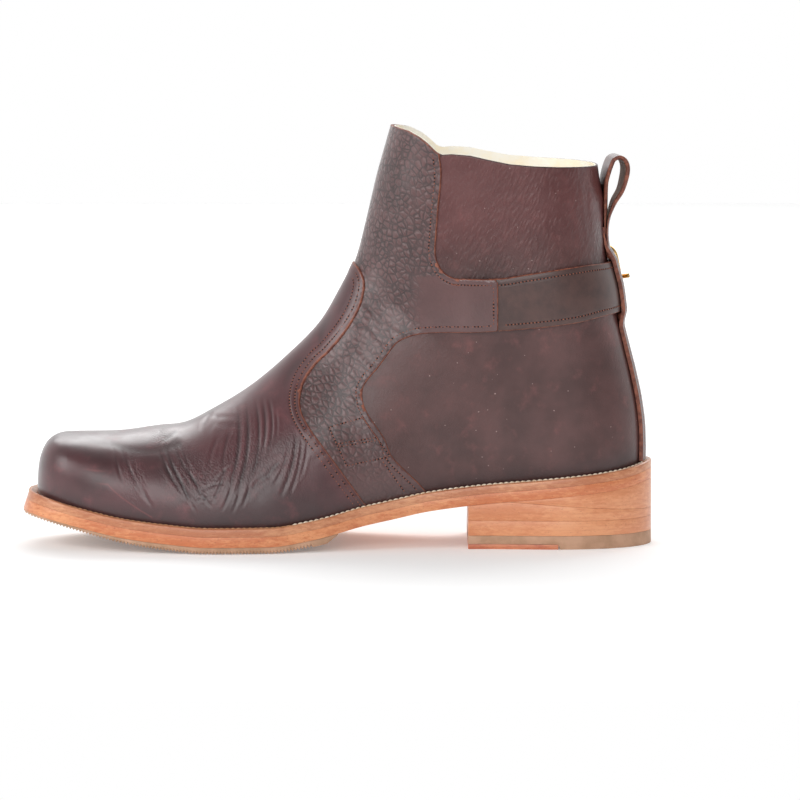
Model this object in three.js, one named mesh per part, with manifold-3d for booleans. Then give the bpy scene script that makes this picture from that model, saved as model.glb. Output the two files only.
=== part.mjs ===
// A jodhpur boot for the right foot, empty, standing on its sole.
// Millimetres. The toe points along +X, +Y is the medial (inner) side, the floor is Z = 0.
// Tables are laid out from the back of the heel; the finished boot is then moved so that
// the origin is the middle of the heel's rubber, on the floor.
import * as THREE from 'three';
import { mergeVertices } from 'three/addons/utils/BufferGeometryUtils.js';
import Module from 'manifold-3d';

const wasm = await Module();
wasm.setup();

// Main sizes of the last and the boot
const SOLE_LENGTH = 305; // back of the heel to the front of the welt
const BOOT_HEIGHT = 205; // floor to the tip of the front tab
const BALL_WIDTH = 105.6; // across the welt at the ball
const ANKLE_WIDTH = 70; // across the shaft over the ankle
const HEEL_RISE = 28.7; // the seat at the back stands this much above the ball
const TOE_SPRING = 14.7; // the welt's toe stands this much above the ball

// Sole layers
const WELT_THICKNESS = 4;
const WELT_SHOW = 4; // welt seen beyond the upper along the sides
const TOE_SHOW = 8.9; // welt seen beyond the upper's form at the toe
const OUTSOLE_THICKNESS = 5;
const HALF_SOLE_THICKNESS = 3.3; // rubber under the ball
const HALF_SOLE_TOE_THICKNESS = 1.5; // the same rubber worn down at the toe
const HALF_SOLE_INSET = 0.4; // the rubber is trimmed this much inside the leather
const HALF_SOLE_START = 152; // skived back edge of the rubber
const HALF_SOLE_SKIVE = 5; // length over which that edge grows to its full thickness
const INSOLE_THICKNESS = 3;

// Heel
const HEEL_LENGTH = 89.5;
const HEEL_INSET = 0.6; // the heel is trimmed this much inside the outsole
const TOP_LIFT_HEIGHT = 6.5; // rubber on the floor
const LIFT_HEIGHT = 7.2; // lowest lift of the leather stack
const STACK_BACK_HEIGHT = 17.6; // top of the stack at the back of the heel
const WEDGE_LENGTH = 68; // the wedge runs out to nothing here
const WEDGE_EDGE = 0.6; // thickness left on the wedge's thin end
const INSERT_LENGTH = 43.4; // leather let into the rubber at the breast
const INSERT_HEIGHT = 2.4;

// Upper
const WALL = 1.5; // quarter and lining together
const PANEL_STEP = 0.9; // the front panel lies this much above the quarter
const VAMP_STEP = 0.9; // and the vamp this much above the front panel
const SKIRT = 14; // the form runs on this far below the welt's top before it is cut
const HEEL_CURVE = 38; // depth of the rounding round the back of the heel
const TOE_BOX_HEIGHT = 26.2; // welt to crown of the toe box
const NOSE_LENGTH = 14.6; // the front corner of the toe box
const LEAST_HALF_WIDTH = 0.4; // where both sides of the form meet

// Strap, back strip, pull loop and buckle
const STRAP_THICKNESS = 2.3;
const STRAP_END = 75; // medial end of the strap, under the front panel's tab
const TAB_RISE = 3.5; // the tab lies over the strap's end
const TAB_LENGTH = 24; // the strap's end swells the tab as far as this
const STRAP_TIP = 70; // lateral, pointed end of the strap
const STRAP_TIP_LENGTH = 14;
const STRIP_THICKNESS = 1.8;
const STRIP_WIDTH = 20;
const LOOP_WIDTH = 18;
const BILLET_THICKNESS = 2;
const BUCKLE_BAR = 3;
const BUCKLE_THICKNESS = 2;
const BUCKLE_LENGTH = 20;
const BUCKLE_CORNER = 7;
const BUCKLE_PLAY = 1.2; // the buckle's opening is this much wider than the strap on each side
const PRONG_WIDTH = 2.4;
const PRONG_THICKNESS = 1.6;
const PRONG_TIP = 3; // the prong's tip reaches this far past the buckle's rear bar
const KEEPER_WIDTH = 9;
const KEEPER_THICKNESS = 1.4;
const KEEPER_PLACE = 52; // from the back of the heel
const GAP = 0.3; // between pieces that lie on each other

// Where the tables' zero, the back of the heel, lies behind the boot's origin
const HEEL_REST = 25;

const clamp = (value, low, high) => Math.min(high, Math.max(low, value));
const mix = (a, b, share) => a + (b - a) * share;
const ease = (low, high, value) => {
  const share = clamp((value - low) / (high - low), 0, 1);
  return share * share * (3 - 2 * share);
};

// One column of a table as a smooth function of another, without overshoot between rows.
function column(rows, from, to) {
  const xs = rows.map((row) => row[from]);
  const ys = rows.map((row) => row[to]);
  const last = xs.length - 1;
  const rise = (i) => (ys[i + 1] - ys[i]) / (xs[i + 1] - xs[i]);
  const slopes = xs.map((_, i) => {
    if (i === 0) return rise(0);
    if (i === last) return rise(last - 1);
    const before = rise(i - 1);
    const after = rise(i);
    return before * after <= 0 ? 0 : (2 * before * after) / (before + after);
  });
  return (x) => {
    const at = clamp(x, xs[0], xs[last]);
    let i = 0;
    while (i < last - 1 && at > xs[i + 1]) i += 1;
    const span = xs[i + 1] - xs[i];
    const t = (at - xs[i]) / span;
    const own = (1 + 2 * t) * (1 - t) * (1 - t) * ys[i] + t * (1 - t) * (1 - t) * span * slopes[i];
    const next = t * t * (3 - 2 * t) * ys[i + 1] - t * t * (1 - t) * span * slopes[i + 1];
    return own + next;
  };
}

// Side view of the sole: height of the welt's top above its height at the ball, as shares of
// the heel rise and of the toe spring. Places are shares of the sole's length.
const SOLE_SIDE = [
  { x: 0, heel: 1, toe: 0 },
  { x: 0.049, heel: 0.88, toe: 0 },
  { x: 0.151, heel: 0.756, toe: 0 },
  { x: 0.272, heel: 0.638, toe: 0 },
  { x: 0.357, heel: 0.519, toe: 0 },
  { x: 0.407, heel: 0.408, toe: 0 },
  { x: 0.456, heel: 0.303, toe: 0 },
  { x: 0.538, heel: 0.094, toe: 0 },
  { x: 0.607, heel: 0, toe: 0 },
  { x: 0.705, heel: 0, toe: 0 },
  { x: 0.77, heel: 0, toe: 0.095 },
  { x: 0.836, heel: 0, toe: 0.25 },
  { x: 0.905, heel: 0, toe: 0.55 },
  { x: 0.97, heel: 0, toe: 0.864 },
  { x: 1, heel: 0, toe: 1 },
];

// Top view of the sole: half widths and the bend of its middle line, as shares of the ball's
// width. The heel's and the toe's round ends come on top of these.
const SOLE_TOP = [
  { x: 0, medial: 0.306, lateral: 0.308, middle: 0 },
  { x: 0.151, medial: 0.308, lateral: 0.312, middle: 0 },
  { x: 0.272, medial: 0.289, lateral: 0.313, middle: 0 },
  { x: 0.357, medial: 0.294, lateral: 0.331, middle: 0 },
  { x: 0.456, medial: 0.341, lateral: 0.388, middle: 0 },
  { x: 0.538, medial: 0.417, lateral: 0.455, middle: 0 },
  { x: 0.623, medial: 0.474, lateral: 0.502, middle: 0 },
  { x: 0.685, medial: 0.489, lateral: 0.511, middle: 0 },
  { x: 0.77, medial: 0.459, lateral: 0.492, middle: 0 },
  { x: 0.836, medial: 0.417, lateral: 0.449, middle: 0.003 },
  { x: 0.905, medial: 0.36, lateral: 0.385, middle: 0.016 },
  { x: 0.97, medial: 0.32, lateral: 0.345, middle: 0.04 },
  { x: 1, medial: 0.3, lateral: 0.33, middle: 0.055 },
];
const BALL_FLAT = { start: 0.607, end: 0.705 }; // the rows where the sole is level
const HEEL_ROUND = { length: 0.151, power: 2.1 };
const TOE_ROUND = { start: 0.86, power: 2.8 };

// Front line of the form in side view, crown of the toe box to the top of the front tab, with
// the fullness of the section that starts there: a high number is a square section.
const FRONT_LINE = [
  { x: 0.923, z: 0.2546, fullness: 7 },
  { x: 0.847, z: 0.255, fullness: 4.6 },
  { x: 0.787, z: 0.267, fullness: 3.5 },
  { x: 0.741, z: 0.276, fullness: 3 },
  { x: 0.696, z: 0.309, fullness: 2.6 },
  { x: 0.635, z: 0.365, fullness: 2.15 },
  { x: 0.574, z: 0.4415, fullness: 2.1 },
  { x: 0.5246, z: 0.517, fullness: 2.3 },
  { x: 0.496, z: 0.587, fullness: 2.7 },
  { x: 0.4695, z: 0.668, fullness: 3 },
  { x: 0.4525, z: 0.761, fullness: 3.1 },
  { x: 0.4354, z: 0.869, fullness: 3.2 },
  { x: 0.419, z: 0.956, fullness: 3.2 },
  { x: 0.407, z: 1.02, fullness: 3.2 },
];

// Back line of the form in side view, below the seat to above the collar.
const BACK_LINE = [
  { x: 0.019, z: 0.127 },
  { x: 0.016, z: 0.2146 },
  { x: 0.017, z: 0.273 },
  { x: 0.0216, z: 0.332 },
  { x: 0.0328, z: 0.412 },
  { x: 0.0413, z: 0.461 },
  { x: 0.0538, z: 0.5366 },
  { x: 0.0605, z: 0.605 },
  { x: 0.0715, z: 0.671 },
  { x: 0.0767, z: 0.7366 },
  { x: 0.078, z: 0.8146 },
  { x: 0.085, z: 0.865 },
  { x: 0.09, z: 0.927 },
  { x: 0.092, z: 1.01 },
];

// Sections run from the low line (under the sole, then up the back) to the front line. Each row
// pairs a place along one with a place along the other, as shares of their lengths.
const SECTION_PAIRS = [
  { front: 0, low: 0 },
  { front: 0.226, low: 0.122 },
  { front: 0.38, low: 0.213 },
  { front: 0.48, low: 0.27 },
  { front: 0.57, low: 0.343 },
  { front: 0.64, low: 0.45 },
  { front: 0.675, low: 0.585 },
  { front: 0.695, low: 0.63 },
  { front: 0.75, low: 0.725 },
  { front: 0.86, low: 0.855 },
  { front: 1, low: 1 },
];

// Half widths of the shaft, as shares of the ankle's width.
const SHAFT_WIDTH = [
  { z: 0.2, half: 0.443 },
  { z: 0.4, half: 0.45 },
  { z: 0.5, half: 0.468 },
  { z: 0.6, half: 0.492 },
  { z: 0.75, half: 0.5 },
  { z: 0.93, half: 0.52 },
  { z: 1, half: 0.53 },
];
const SHAFT_BLEND = { low: 0.24, high: 0.56 };
const FEATHER_TUCK = { share: 0.05, height: 7 };

// Edges of the strap in side view, the same on both sides of the boot.
const STRAP_EDGES = [
  { x: 0.05, low: 0.552, high: 0.668 },
  { x: 0.09, low: 0.546, high: 0.668 },
  { x: 0.13, low: 0.535, high: 0.663 },
  { x: 0.193, low: 0.524, high: 0.65 },
  { x: 0.246, low: 0.517, high: 0.639 },
  { x: 0.31, low: 0.51, high: 0.638 },
  { x: 0.36, low: 0.505, high: 0.636 },
];

// Outlines in side view, as shares of the sole's length and of the boot's height.
const COLLAR_EDGE = [
  { x: 0.04, z: 0.892 },
  { x: 0.096, z: 0.897 },
  { x: 0.152, z: 0.8995 },
  { x: 0.191, z: 0.902 },
  { x: 0.23, z: 0.907 },
  { x: 0.262, z: 0.9165 },
  { x: 0.291, z: 0.926 },
  { x: 0.32, z: 0.929 },
  { x: 0.336, z: 0.927 },
  { x: 0.345, z: 0.934 },
  { x: 0.356, z: 0.95 },
  { x: 0.3695, z: 0.966 },
  { x: 0.388, z: 0.9805 },
  { x: 0.4154, z: 0.99 },
  { x: 0.45, z: 1 },
];
const VAMP_EDGE = [
  { x: 0.52, z: 0.78 },
  { x: 0.474, z: 0.67 },
  { x: 0.4616, z: 0.649 },
  { x: 0.455, z: 0.622 },
  { x: 0.4577, z: 0.588 },
  { x: 0.466, z: 0.5537 },
  { x: 0.486, z: 0.504 },
  { x: 0.5125, z: 0.4566 },
  { x: 0.53, z: 0.432 },
  { x: 0.551, z: 0.388 },
  { x: 0.5577, z: 0.3527 },
  { x: 0.5557, z: 0.322 },
  { x: 0.545, z: 0.291 },
  { x: 0.5148, z: 0.229 },
  { x: 0.455, z: 0.105 },
  { x: 0.42, z: 0.03 },
];
const PANEL_LOW_EDGE = [
  { x: 0.325, z: 0.03 },
  { x: 0.359, z: 0.132 },
  { x: 0.414, z: 0.2195 },
  { x: 0.4252, z: 0.2595 },
  { x: 0.4495, z: 0.3137 },
  { x: 0.4567, z: 0.335 },
  { x: 0.46, z: 0.356 },
  { x: 0.4597, z: 0.3746 },
  { x: 0.4534, z: 0.394 },
  { x: 0.4374, z: 0.422 },
  { x: 0.4233, z: 0.4498 },
  { x: 0.413, z: 0.471 },
  { x: 0.403, z: 0.4863 },
  { x: 0.3784, z: 0.5015 },
  { x: 0.354, z: 0.507 },
  { x: 0.3095, z: 0.51 },
];
const PANEL_TOP_EDGE = [
  { x: 0.2885, z: 0.638 },
  { x: 0.3085, z: 0.6366 },
  { x: 0.3246, z: 0.644 },
  { x: 0.337, z: 0.6605 },
  { x: 0.343, z: 0.6815 },
  { x: 0.345, z: 0.7054 },
  { x: 0.344, z: 0.73 },
  { x: 0.3393, z: 0.8195 },
  { x: 0.336, z: 0.868 },
  { x: 0.336, z: 0.892 },
  { x: 0.339, z: 0.93 },
  { x: 0.345, z: 1.03 },
];

// Side view of the pull loop's band, as shares of the boot's height, from the back line.
const LOOP_OUTSIDE = [
  { out: 0.006, z: 0.7 },
  { out: 0.011, z: 0.735 },
  { out: 0.019, z: 0.774 },
  { out: 0.031, z: 0.808 },
  { out: 0.046, z: 0.838 },
  { out: 0.0575, z: 0.872 },
  { out: 0.0585, z: 0.9 },
  { out: 0.05, z: 0.917 },
  { out: 0.036, z: 0.922 },
  { out: 0.02, z: 0.917 },
  { out: 0.006, z: 0.9 },
  { out: 0.0, z: 0.88 },
  { out: 0.002, z: 0.862 },
  { out: 0.002, z: 0.79 },
  { out: 0.002, z: 0.7 },
];
const LOOP_INSIDE = [
  { out: 0.0105, z: 0.778 },
  { out: 0.021, z: 0.815 },
  { out: 0.036, z: 0.843 },
  { out: 0.047, z: 0.874 },
  { out: 0.0475, z: 0.897 },
  { out: 0.041, z: 0.908 },
  { out: 0.033, z: 0.911 },
  { out: 0.023, z: 0.907 },
  { out: 0.0145, z: 0.893 },
  { out: 0.0115, z: 0.875 },
  { out: 0.0115, z: 0.83 },
  { out: 0.0105, z: 0.79 },
];

// Heights and widths of the sole
const ballHeight = HALF_SOLE_THICKNESS + OUTSOLE_THICKNESS + WELT_THICKNESS;
const heelShare = column(SOLE_SIDE, 'x', 'heel');
const toeShare = column(SOLE_SIDE, 'x', 'toe');
const weltTop = (x) => {
  const share = x / SOLE_LENGTH;
  return ballHeight + HEEL_RISE * heelShare(share) + TOE_SPRING * toeShare(share);
};
const outsoleTop = (x) => weltTop(x) - WELT_THICKNESS - GAP;
const outsoleBottom = (x) => weltTop(x) - WELT_THICKNESS - OUTSOLE_THICKNESS;

const roundEnd = (share, power) => Math.pow(1 - Math.pow(clamp(share, 0, 1), power), 1 / power);
const sideShare = {
  medial: column(SOLE_TOP, 'x', 'medial'),
  lateral: column(SOLE_TOP, 'x', 'lateral'),
};
const middleShare = column(SOLE_TOP, 'x', 'middle');
const middleLine = (x) => BALL_WIDTH * middleShare(x / SOLE_LENGTH);

// Half width of the sole on one side, trimmed by an inset.
function soleHalf(x, side, inset) {
  const share = x / SOLE_LENGTH;
  const insetShare = inset / SOLE_LENGTH;
  const heelEnd = (HEEL_ROUND.length - share) / (HEEL_ROUND.length - insetShare);
  const toeEnd = (share - TOE_ROUND.start) / (1 - insetShare - TOE_ROUND.start);
  const round = roundEnd(heelEnd, HEEL_ROUND.power) * roundEnd(toeEnd, TOE_ROUND.power);
  return (BALL_WIDTH * sideShare[side](share) - inset) * round;
}

// The form: front line, low line and the sections between them
const place = (row) => new THREE.Vector3(row.x * SOLE_LENGTH, 0, row.z * BOOT_HEIGHT);
const smoothLine = (points) => new THREE.CatmullRomCurve3(points, false, 'centripetal');
const noseBack = FRONT_LINE[0].x * SOLE_LENGTH;
const noseFront = SOLE_LENGTH - TOE_SHOW;
const crown = FRONT_LINE[0].z * BOOT_HEIGHT;
const frontLine = smoothLine(FRONT_LINE.map(place));
const underSole = [0.923, 0.85, 0.75, 0.65, 0.55, 0.45, 0.35, 0.25, 0.15, 0.09, 0.05, 0.03]
  .map((share) => share * SOLE_LENGTH)
  .map((x) => new THREE.Vector3(x, 0, weltTop(x) - SKIRT));
const lowLine = smoothLine([...underSole, ...BACK_LINE.map(place)]);
const backShare = column(BACK_LINE, 'z', 'x');
const backOf = (z) => SOLE_LENGTH * backShare(z / BOOT_HEIGHT);

// Fullness follows the places where the front line passes its own rows.
const frontLengths = frontLine.getLengths(400);
const frontPlace = (row) => {
  const target = place(row);
  const steps = frontLengths.map((_, i) => frontLine.getPoint(i / 400).distanceTo(target));
  const nearest = steps.indexOf(Math.min(...steps));
  return frontLengths[nearest] / frontLengths[400];
};
const fullnessRows = FRONT_LINE.map((row) => ({ along: frontPlace(row), fullness: row.fullness }));
const fullnessAt = column(fullnessRows, 'along', 'fullness');
const pairRows = SECTION_PAIRS.map((row) => ({ ...row, station: (row.front + row.low) / 2 }));
const frontAt = column(pairRows, 'station', 'front');
const lowAt = column(pairRows, 'station', 'low');

// A section of the nose stands upright; the others follow the pairs.
function noseSection(share) {
  const x = noseBack + NOSE_LENGTH * Math.sin((Math.PI / 2) * share);
  const top = crown - TOE_BOX_HEIGHT * (1 - roundEnd((x - noseBack) / NOSE_LENGTH, 2.9));
  return { low: [x, weltTop(x) - SKIRT], top: [x, top], fullness: FRONT_LINE[0].fullness };
}
function bodySection(station) {
  const front = frontAt(station);
  const top = frontLine.getPointAt(clamp(front, 0, 1));
  const low = lowLine.getPointAt(clamp(lowAt(station), 0, 1));
  return { low: [low.x, low.z], top: [top.x, top.z], fullness: fullnessAt(front) };
}
function makeSections(noseCount, bodyCount) {
  const nose = [];
  for (let i = noseCount; i > 0; i -= 1) nose.push(noseSection(i / noseCount));
  const body = [];
  for (let i = 0; i <= bodyCount; i += 1) body.push(bodySection(i / bodyCount));
  return [...nose, ...body];
}

const shaftShare = column(SHAFT_WIDTH, 'z', 'half');

// Half width of the form at a place on a section, t running from the low line to the front line.
function formHalf(x, z, side, t, fullness) {
  const height = z / BOOT_HEIGHT;
  const toeEnd = (x / SOLE_LENGTH - TOE_ROUND.start) / (noseFront / SOLE_LENGTH - TOE_ROUND.start);
  const foot = BALL_WIDTH * sideShare[side](x / SOLE_LENGTH) - WELT_SHOW;
  const shaft = ANKLE_WIDTH * shaftShare(height);
  const wide = mix(foot, shaft, ease(SHAFT_BLEND.low, SHAFT_BLEND.high, height));
  const tuck = 1 - FEATHER_TUCK.share * Math.exp(-Math.max(0, z - weltTop(x)) / FEATHER_TUCK.height);
  const overTop = Math.pow(1 - Math.pow(clamp(t, 0, 1), fullness), 0.5);
  const roundBack = roundEnd(1 - (x - backOf(z)) / HEEL_CURVE, 2.2);
  return wide * tuck * overTop * roundBack * roundEnd(toeEnd, TOE_ROUND.power);
}

// A closed mesh of the form, moved outward along its normals.
const NOSE_SECTIONS = 7;
const BODY_SECTIONS = 29;
const SECTION_STEPS = 14;
const sections = makeSections(NOSE_SECTIONS, BODY_SECTIONS);
function formPoint(section, t, side) {
  const x = mix(section.low[0], section.top[0], t);
  const z = mix(section.low[1], section.top[1], t);
  const half = t === 1 ? 0 : Math.max(LEAST_HALF_WIDTH, formHalf(x, z, side, t, section.fullness));
  return [x, middleLine(x) + (side === 'medial' ? half : -half), z];
}
function formRings() {
  return sections.map((section) => {
    const ring = [];
    for (let j = 0; j <= SECTION_STEPS; j += 1) {
      ring.push(formPoint(section, (1 - Math.cos((Math.PI * j) / SECTION_STEPS)) / 2, 'medial'));
    }
    for (let j = SECTION_STEPS - 1; j >= 0; j -= 1) {
      ring.push(formPoint(section, (1 - Math.cos((Math.PI * j) / SECTION_STEPS)) / 2, 'lateral'));
    }
    return ring;
  });
}

// A closed geometry from rings of points, with a flat fan on the first and the last ring.
function loft(rings) {
  const count = rings[0].length;
  const positions = rings.flat(2);
  const index = [];
  const average = (ring) => [0, 1, 2].map((k) => ring.reduce((sum, p) => sum + p[k], 0) / count);
  for (let i = 0; i < rings.length - 1; i += 1) {
    for (let j = 0; j < count; j += 1) {
      const next = (j + 1) % count;
      const a = i * count + j;
      const b = i * count + next;
      const c = (i + 1) * count + j;
      const d = (i + 1) * count + next;
      index.push(a, b, c, b, d, c);
    }
  }
  const startCentre = positions.length / 3;
  positions.push(...average(rings[0]), ...average(rings.at(-1)));
  const lastRing = (rings.length - 1) * count;
  for (let j = 0; j < count; j += 1) {
    const next = (j + 1) % count;
    index.push(startCentre, next, j);
    index.push(startCentre + 1, lastRing + j, lastRing + next);
  }
  const geometry = new THREE.BufferGeometry();
  geometry.setAttribute('position', new THREE.Float32BufferAttribute(positions, 3));
  geometry.setIndex(index);
  return geometry;
}

// Between three.js geometry and solids
function toSolid(geometry) {
  const bare = geometry.clone();
  bare.deleteAttribute('normal');
  bare.deleteAttribute('uv');
  const merged = mergeVertices(bare, 1e-4);
  const mesh = new wasm.Mesh({
    numProp: 3,
    vertProperties: new Float32Array(merged.attributes.position.array),
    triVerts: new Uint32Array(merged.index.array),
  });
  const solid = new wasm.Manifold(mesh);
  return solid.volume() < 0 ? flipped(merged) : solid;
}
function flipped(geometry) {
  const index = Array.from(geometry.index.array);
  for (let i = 0; i < index.length; i += 3) [index[i], index[i + 1]] = [index[i + 1], index[i]];
  return new wasm.Manifold(new wasm.Mesh({
    numProp: 3,
    vertProperties: new Float32Array(geometry.attributes.position.array),
    triVerts: new Uint32Array(index),
  }));
}
function toGeometry(solid) {
  const mesh = solid.getMesh();
  const geometry = new THREE.BufferGeometry();
  geometry.setAttribute('position', new THREE.Float32BufferAttribute(mesh.vertProperties, 3));
  geometry.setIndex(Array.from(mesh.triVerts));
  const faceted = geometry.toNonIndexed();
  faceted.computeVertexNormals();
  return faceted;
}

const formGeometry = loft(formRings());
formGeometry.computeVertexNormals();
const formSign = Math.sign(signedVolume(formGeometry));
function signedVolume(geometry) {
  const p = geometry.attributes.position;
  const index = geometry.index.array;
  const [a, b, c] = [new THREE.Vector3(), new THREE.Vector3(), new THREE.Vector3()];
  let volume = 0;
  for (let i = 0; i < index.length; i += 3) {
    a.fromBufferAttribute(p, index[i]);
    b.fromBufferAttribute(p, index[i + 1]);
    c.fromBufferAttribute(p, index[i + 2]);
    volume += a.dot(b.cross(c)) / 6;
  }
  return volume;
}
function form(offset) {
  const geometry = formGeometry.clone();
  const p = geometry.attributes.position;
  const n = geometry.attributes.normal;
  for (let i = 0; i < p.count; i += 1) {
    p.setXYZ(
      i,
      p.getX(i) + formSign * offset * n.getX(i),
      p.getY(i) + formSign * offset * n.getY(i),
      p.getZ(i) + formSign * offset * n.getZ(i),
    );
  }
  return toSolid(geometry);
}
const clearForm = form(GAP / 2); // no piece outside the upper reaches below this

// A side outline carried across the boot, from one Y to another.
const WIDER_THAN_BOOT = BALL_WIDTH;
function across(points, from = -WIDER_THAN_BOOT, to = WIDER_THAN_BOOT) {
  const shape = new THREE.Shape(points.map(([x, z]) => new THREE.Vector2(x, z)));
  const geometry = new THREE.ExtrudeGeometry(shape, { depth: to - from, bevelEnabled: false });
  geometry.rotateX(Math.PI / 2);
  geometry.translate(0, to, 0);
  return toSolid(geometry);
}
const outline = (rows) => rows.map((row) => [row.x * SOLE_LENGTH, row.z * BOOT_HEIGHT]);
const smoothOutline = (rows, count) => smoothLine(rows.map(place)).getPoints(count)
  .map((p) => [p.x, p.z]);
const spread = (from, to, count) => Array.from({ length: count + 1 }, (_, i) => mix(from, to, i / count));

// The tab comes down to the front panel in steps where the strap under it ends.
const TAB_FALL = [
  { length: 0.6, rise: 1 },
  { length: 0.8, rise: 0.75 },
  { length: 1, rise: 0.5 },
];

// Upper: one hollow wall, open at the collar and underneath, with steps for panel and vamp
function makeUpper() {
  const reach = SOLE_LENGTH + WIDER_THAN_BOOT;
  const high = 2 * BOOT_HEIGHT;
  const floor = -BOOT_HEIGHT;
  const underside = spread(-SKIRT, reach, 44).map((x) => [x, weltTop(x) + GAP]);
  const below = across([[-SKIRT, floor], [reach, floor], ...underside.reverse()]);
  const collar = outline(COLLAR_EDGE);
  const above = across([
    ...collar,
    [reach, BOOT_HEIGHT],
    [reach, high],
    [-SKIRT, high],
    [-SKIRT, collar[0][1]],
  ]);
  const lowEdge = smoothOutline(PANEL_LOW_EDGE, 30);
  const topEdge = smoothOutline(PANEL_TOP_EDGE, 24);
  const tabEnd = [[STRAP_END, lowEdge.at(-1)[1]], [STRAP_END, topEdge[0][1]]];
  const panel = across([...lowEdge, ...tabEnd, ...topEdge, [reach, high], [reach, floor]]);
  const strapLow = strapEdge.low(STRAP_END) + GAP;
  const strapHigh = strapEdge.high(STRAP_END) - GAP;
  const tab = (length) => across([
    [STRAP_END, strapLow],
    [STRAP_END + length, strapLow],
    [STRAP_END + length, strapHigh],
    [STRAP_END, strapHigh],
  ], 0);
  const vamp = across([...smoothOutline(VAMP_EDGE, 30), [reach, floor], [reach, high]]);
  const root = -WALL / 2;
  const steps = [
    form(PANEL_STEP).intersect(panel),
    ...TAB_FALL.map((row) => form(TAB_RISE * row.rise).intersect(tab(TAB_LENGTH * row.length))),
    form(PANEL_STEP + VAMP_STEP).intersect(vamp),
  ];
  const solid = steps.reduce((sum, step) => sum.add(step.subtract(form(root))), form(0));
  return solid.subtract(form(-WALL)).subtract(below).subtract(above);
}

// A point on the form's surface from its side view, and the outward normal there
const fineSections = makeSections(12, 160);
const sideOf = (section, x, z) => {
  const [lx, lz] = section.low;
  const [tx, tz] = section.top;
  return (tx - lx) * (z - lz) - (tz - lz) * (x - lx);
};
function surfaceHalf(x, z, side) {
  let low = 0;
  let high = fineSections.length - 1;
  while (high - low > 1) {
    const middle = Math.floor((low + high) / 2);
    if (sideOf(fineSections[middle], x, z) > 0) low = middle;
    else high = middle;
  }
  const before = sideOf(fineSections[low], x, z);
  const after = sideOf(fineSections[high], x, z);
  const share = clamp(before / (before - after), 0, 1);
  const [a, b] = [fineSections[low], fineSections[high]];
  const lowPoint = [0, 1].map((k) => mix(a.low[k], b.low[k], share));
  const topPoint = [0, 1].map((k) => mix(a.top[k], b.top[k], share));
  const [dx, dz] = [topPoint[0] - lowPoint[0], topPoint[1] - lowPoint[1]];
  const t = ((x - lowPoint[0]) * dx + (z - lowPoint[1]) * dz) / (dx * dx + dz * dz);
  return formHalf(x, z, side, clamp(t, 0, 1), mix(a.fullness, b.fullness, share));
}

// Round the shaft at one height: turn is 0 at the back line, positive on the medial side.
const WRAP = 30;
function wrapX(z, turn) {
  const angle = Math.abs(turn);
  const quarter = Math.PI / 2;
  return backOf(z) + WRAP * (angle < quarter ? 1 - Math.cos(angle) : 1 + angle - quarter);
}
const turnAt = (x, z) => Math.PI / 2 + (x - backOf(z)) / WRAP - 1;
function wrapPoint(z, turn) {
  const x = wrapX(z, turn);
  const side = turn < 0 ? 'lateral' : 'medial';
  const half = surfaceHalf(x, z, side);
  return new THREE.Vector3(x, middleLine(x) + Math.sign(turn) * half, z);
}
function wrapNormal(z, turn) {
  const step = 0.03;
  const lift = 1.5;
  const along = wrapPoint(z, turn + step).sub(wrapPoint(z, turn - step));
  const up = wrapPoint(z + lift, turn).sub(wrapPoint(z - lift, turn));
  const normal = up.cross(along).normalize();
  return normal.x * Math.cos(turn) > 0 && Math.abs(turn) < 1 ? normal.negate() : normal;
}
function wrapOffset(z, turn, offset) {
  const normal = wrapNormal(z, turn);
  const outward = Math.abs(turn) > 1 ? Math.sign(turn) * Math.sign(normal.y) : 1;
  return wrapPoint(z, turn).addScaledVector(normal, outward * offset);
}

// A band that lies on the shaft. Each row of the band gives its turn and its two edges' heights,
// and how far above the form its inside and outside lie.
function band(rows, crossSteps) {
  return toSolid(loft(rows.map((row) => {
    const points = (offset, order) => order.map((share) => {
      const z = mix(row.low, row.high, share);
      return wrapOffset(z, row.turn, offset).toArray();
    });
    const shares = spread(0, 1, crossSteps);
    return [...points(row.outside, shares), ...points(row.inside, [...shares].reverse())];
  }))).subtract(clearForm);
}

const strapEdge = {
  low: (x) => BOOT_HEIGHT * column(STRAP_EDGES, 'x', 'low')(x / SOLE_LENGTH),
  high: (x) => BOOT_HEIGHT * column(STRAP_EDGES, 'x', 'high')(x / SOLE_LENGTH),
};
const strapMiddle = (x) => (strapEdge.low(x) + strapEdge.high(x)) / 2;

// The strap climbs over the buckle's front bar, then lies on the billet.
const billetTop = GAP + BILLET_THICKNESS;
const barHeight = billetTop + GAP + BUCKLE_THICKNESS / 2;
const strapOverBar = barHeight + BUCKLE_THICKNESS / 2 + 3 * GAP;
const BAR_PLACE = 30; // the buckle's front bar, from the back of the heel
const STRAP_CLIMB = 9; // the strap climbs over the bar within this length
const STRAP_FALL = 14; // and comes down on the billet within this one
function strapFloor(x, side) {
  if (side === 'medial') return GAP;
  const rest = billetTop + GAP;
  const rise = ease(BAR_PLACE - STRAP_CLIMB, BAR_PLACE - BUCKLE_BAR, x);
  const fall = ease(BAR_PLACE + BUCKLE_BAR, BAR_PLACE + STRAP_FALL, x);
  return mix(mix(GAP, strapOverBar, rise), rest, fall);
}

// What lies in front of the strap's medial end and of the billet's front end, with a gap
const underTab = across([
  [STRAP_END - GAP, 0],
  [SOLE_LENGTH, 0],
  [SOLE_LENGTH, BOOT_HEIGHT],
  [STRAP_END - GAP, BOOT_HEIGHT],
]);

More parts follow.
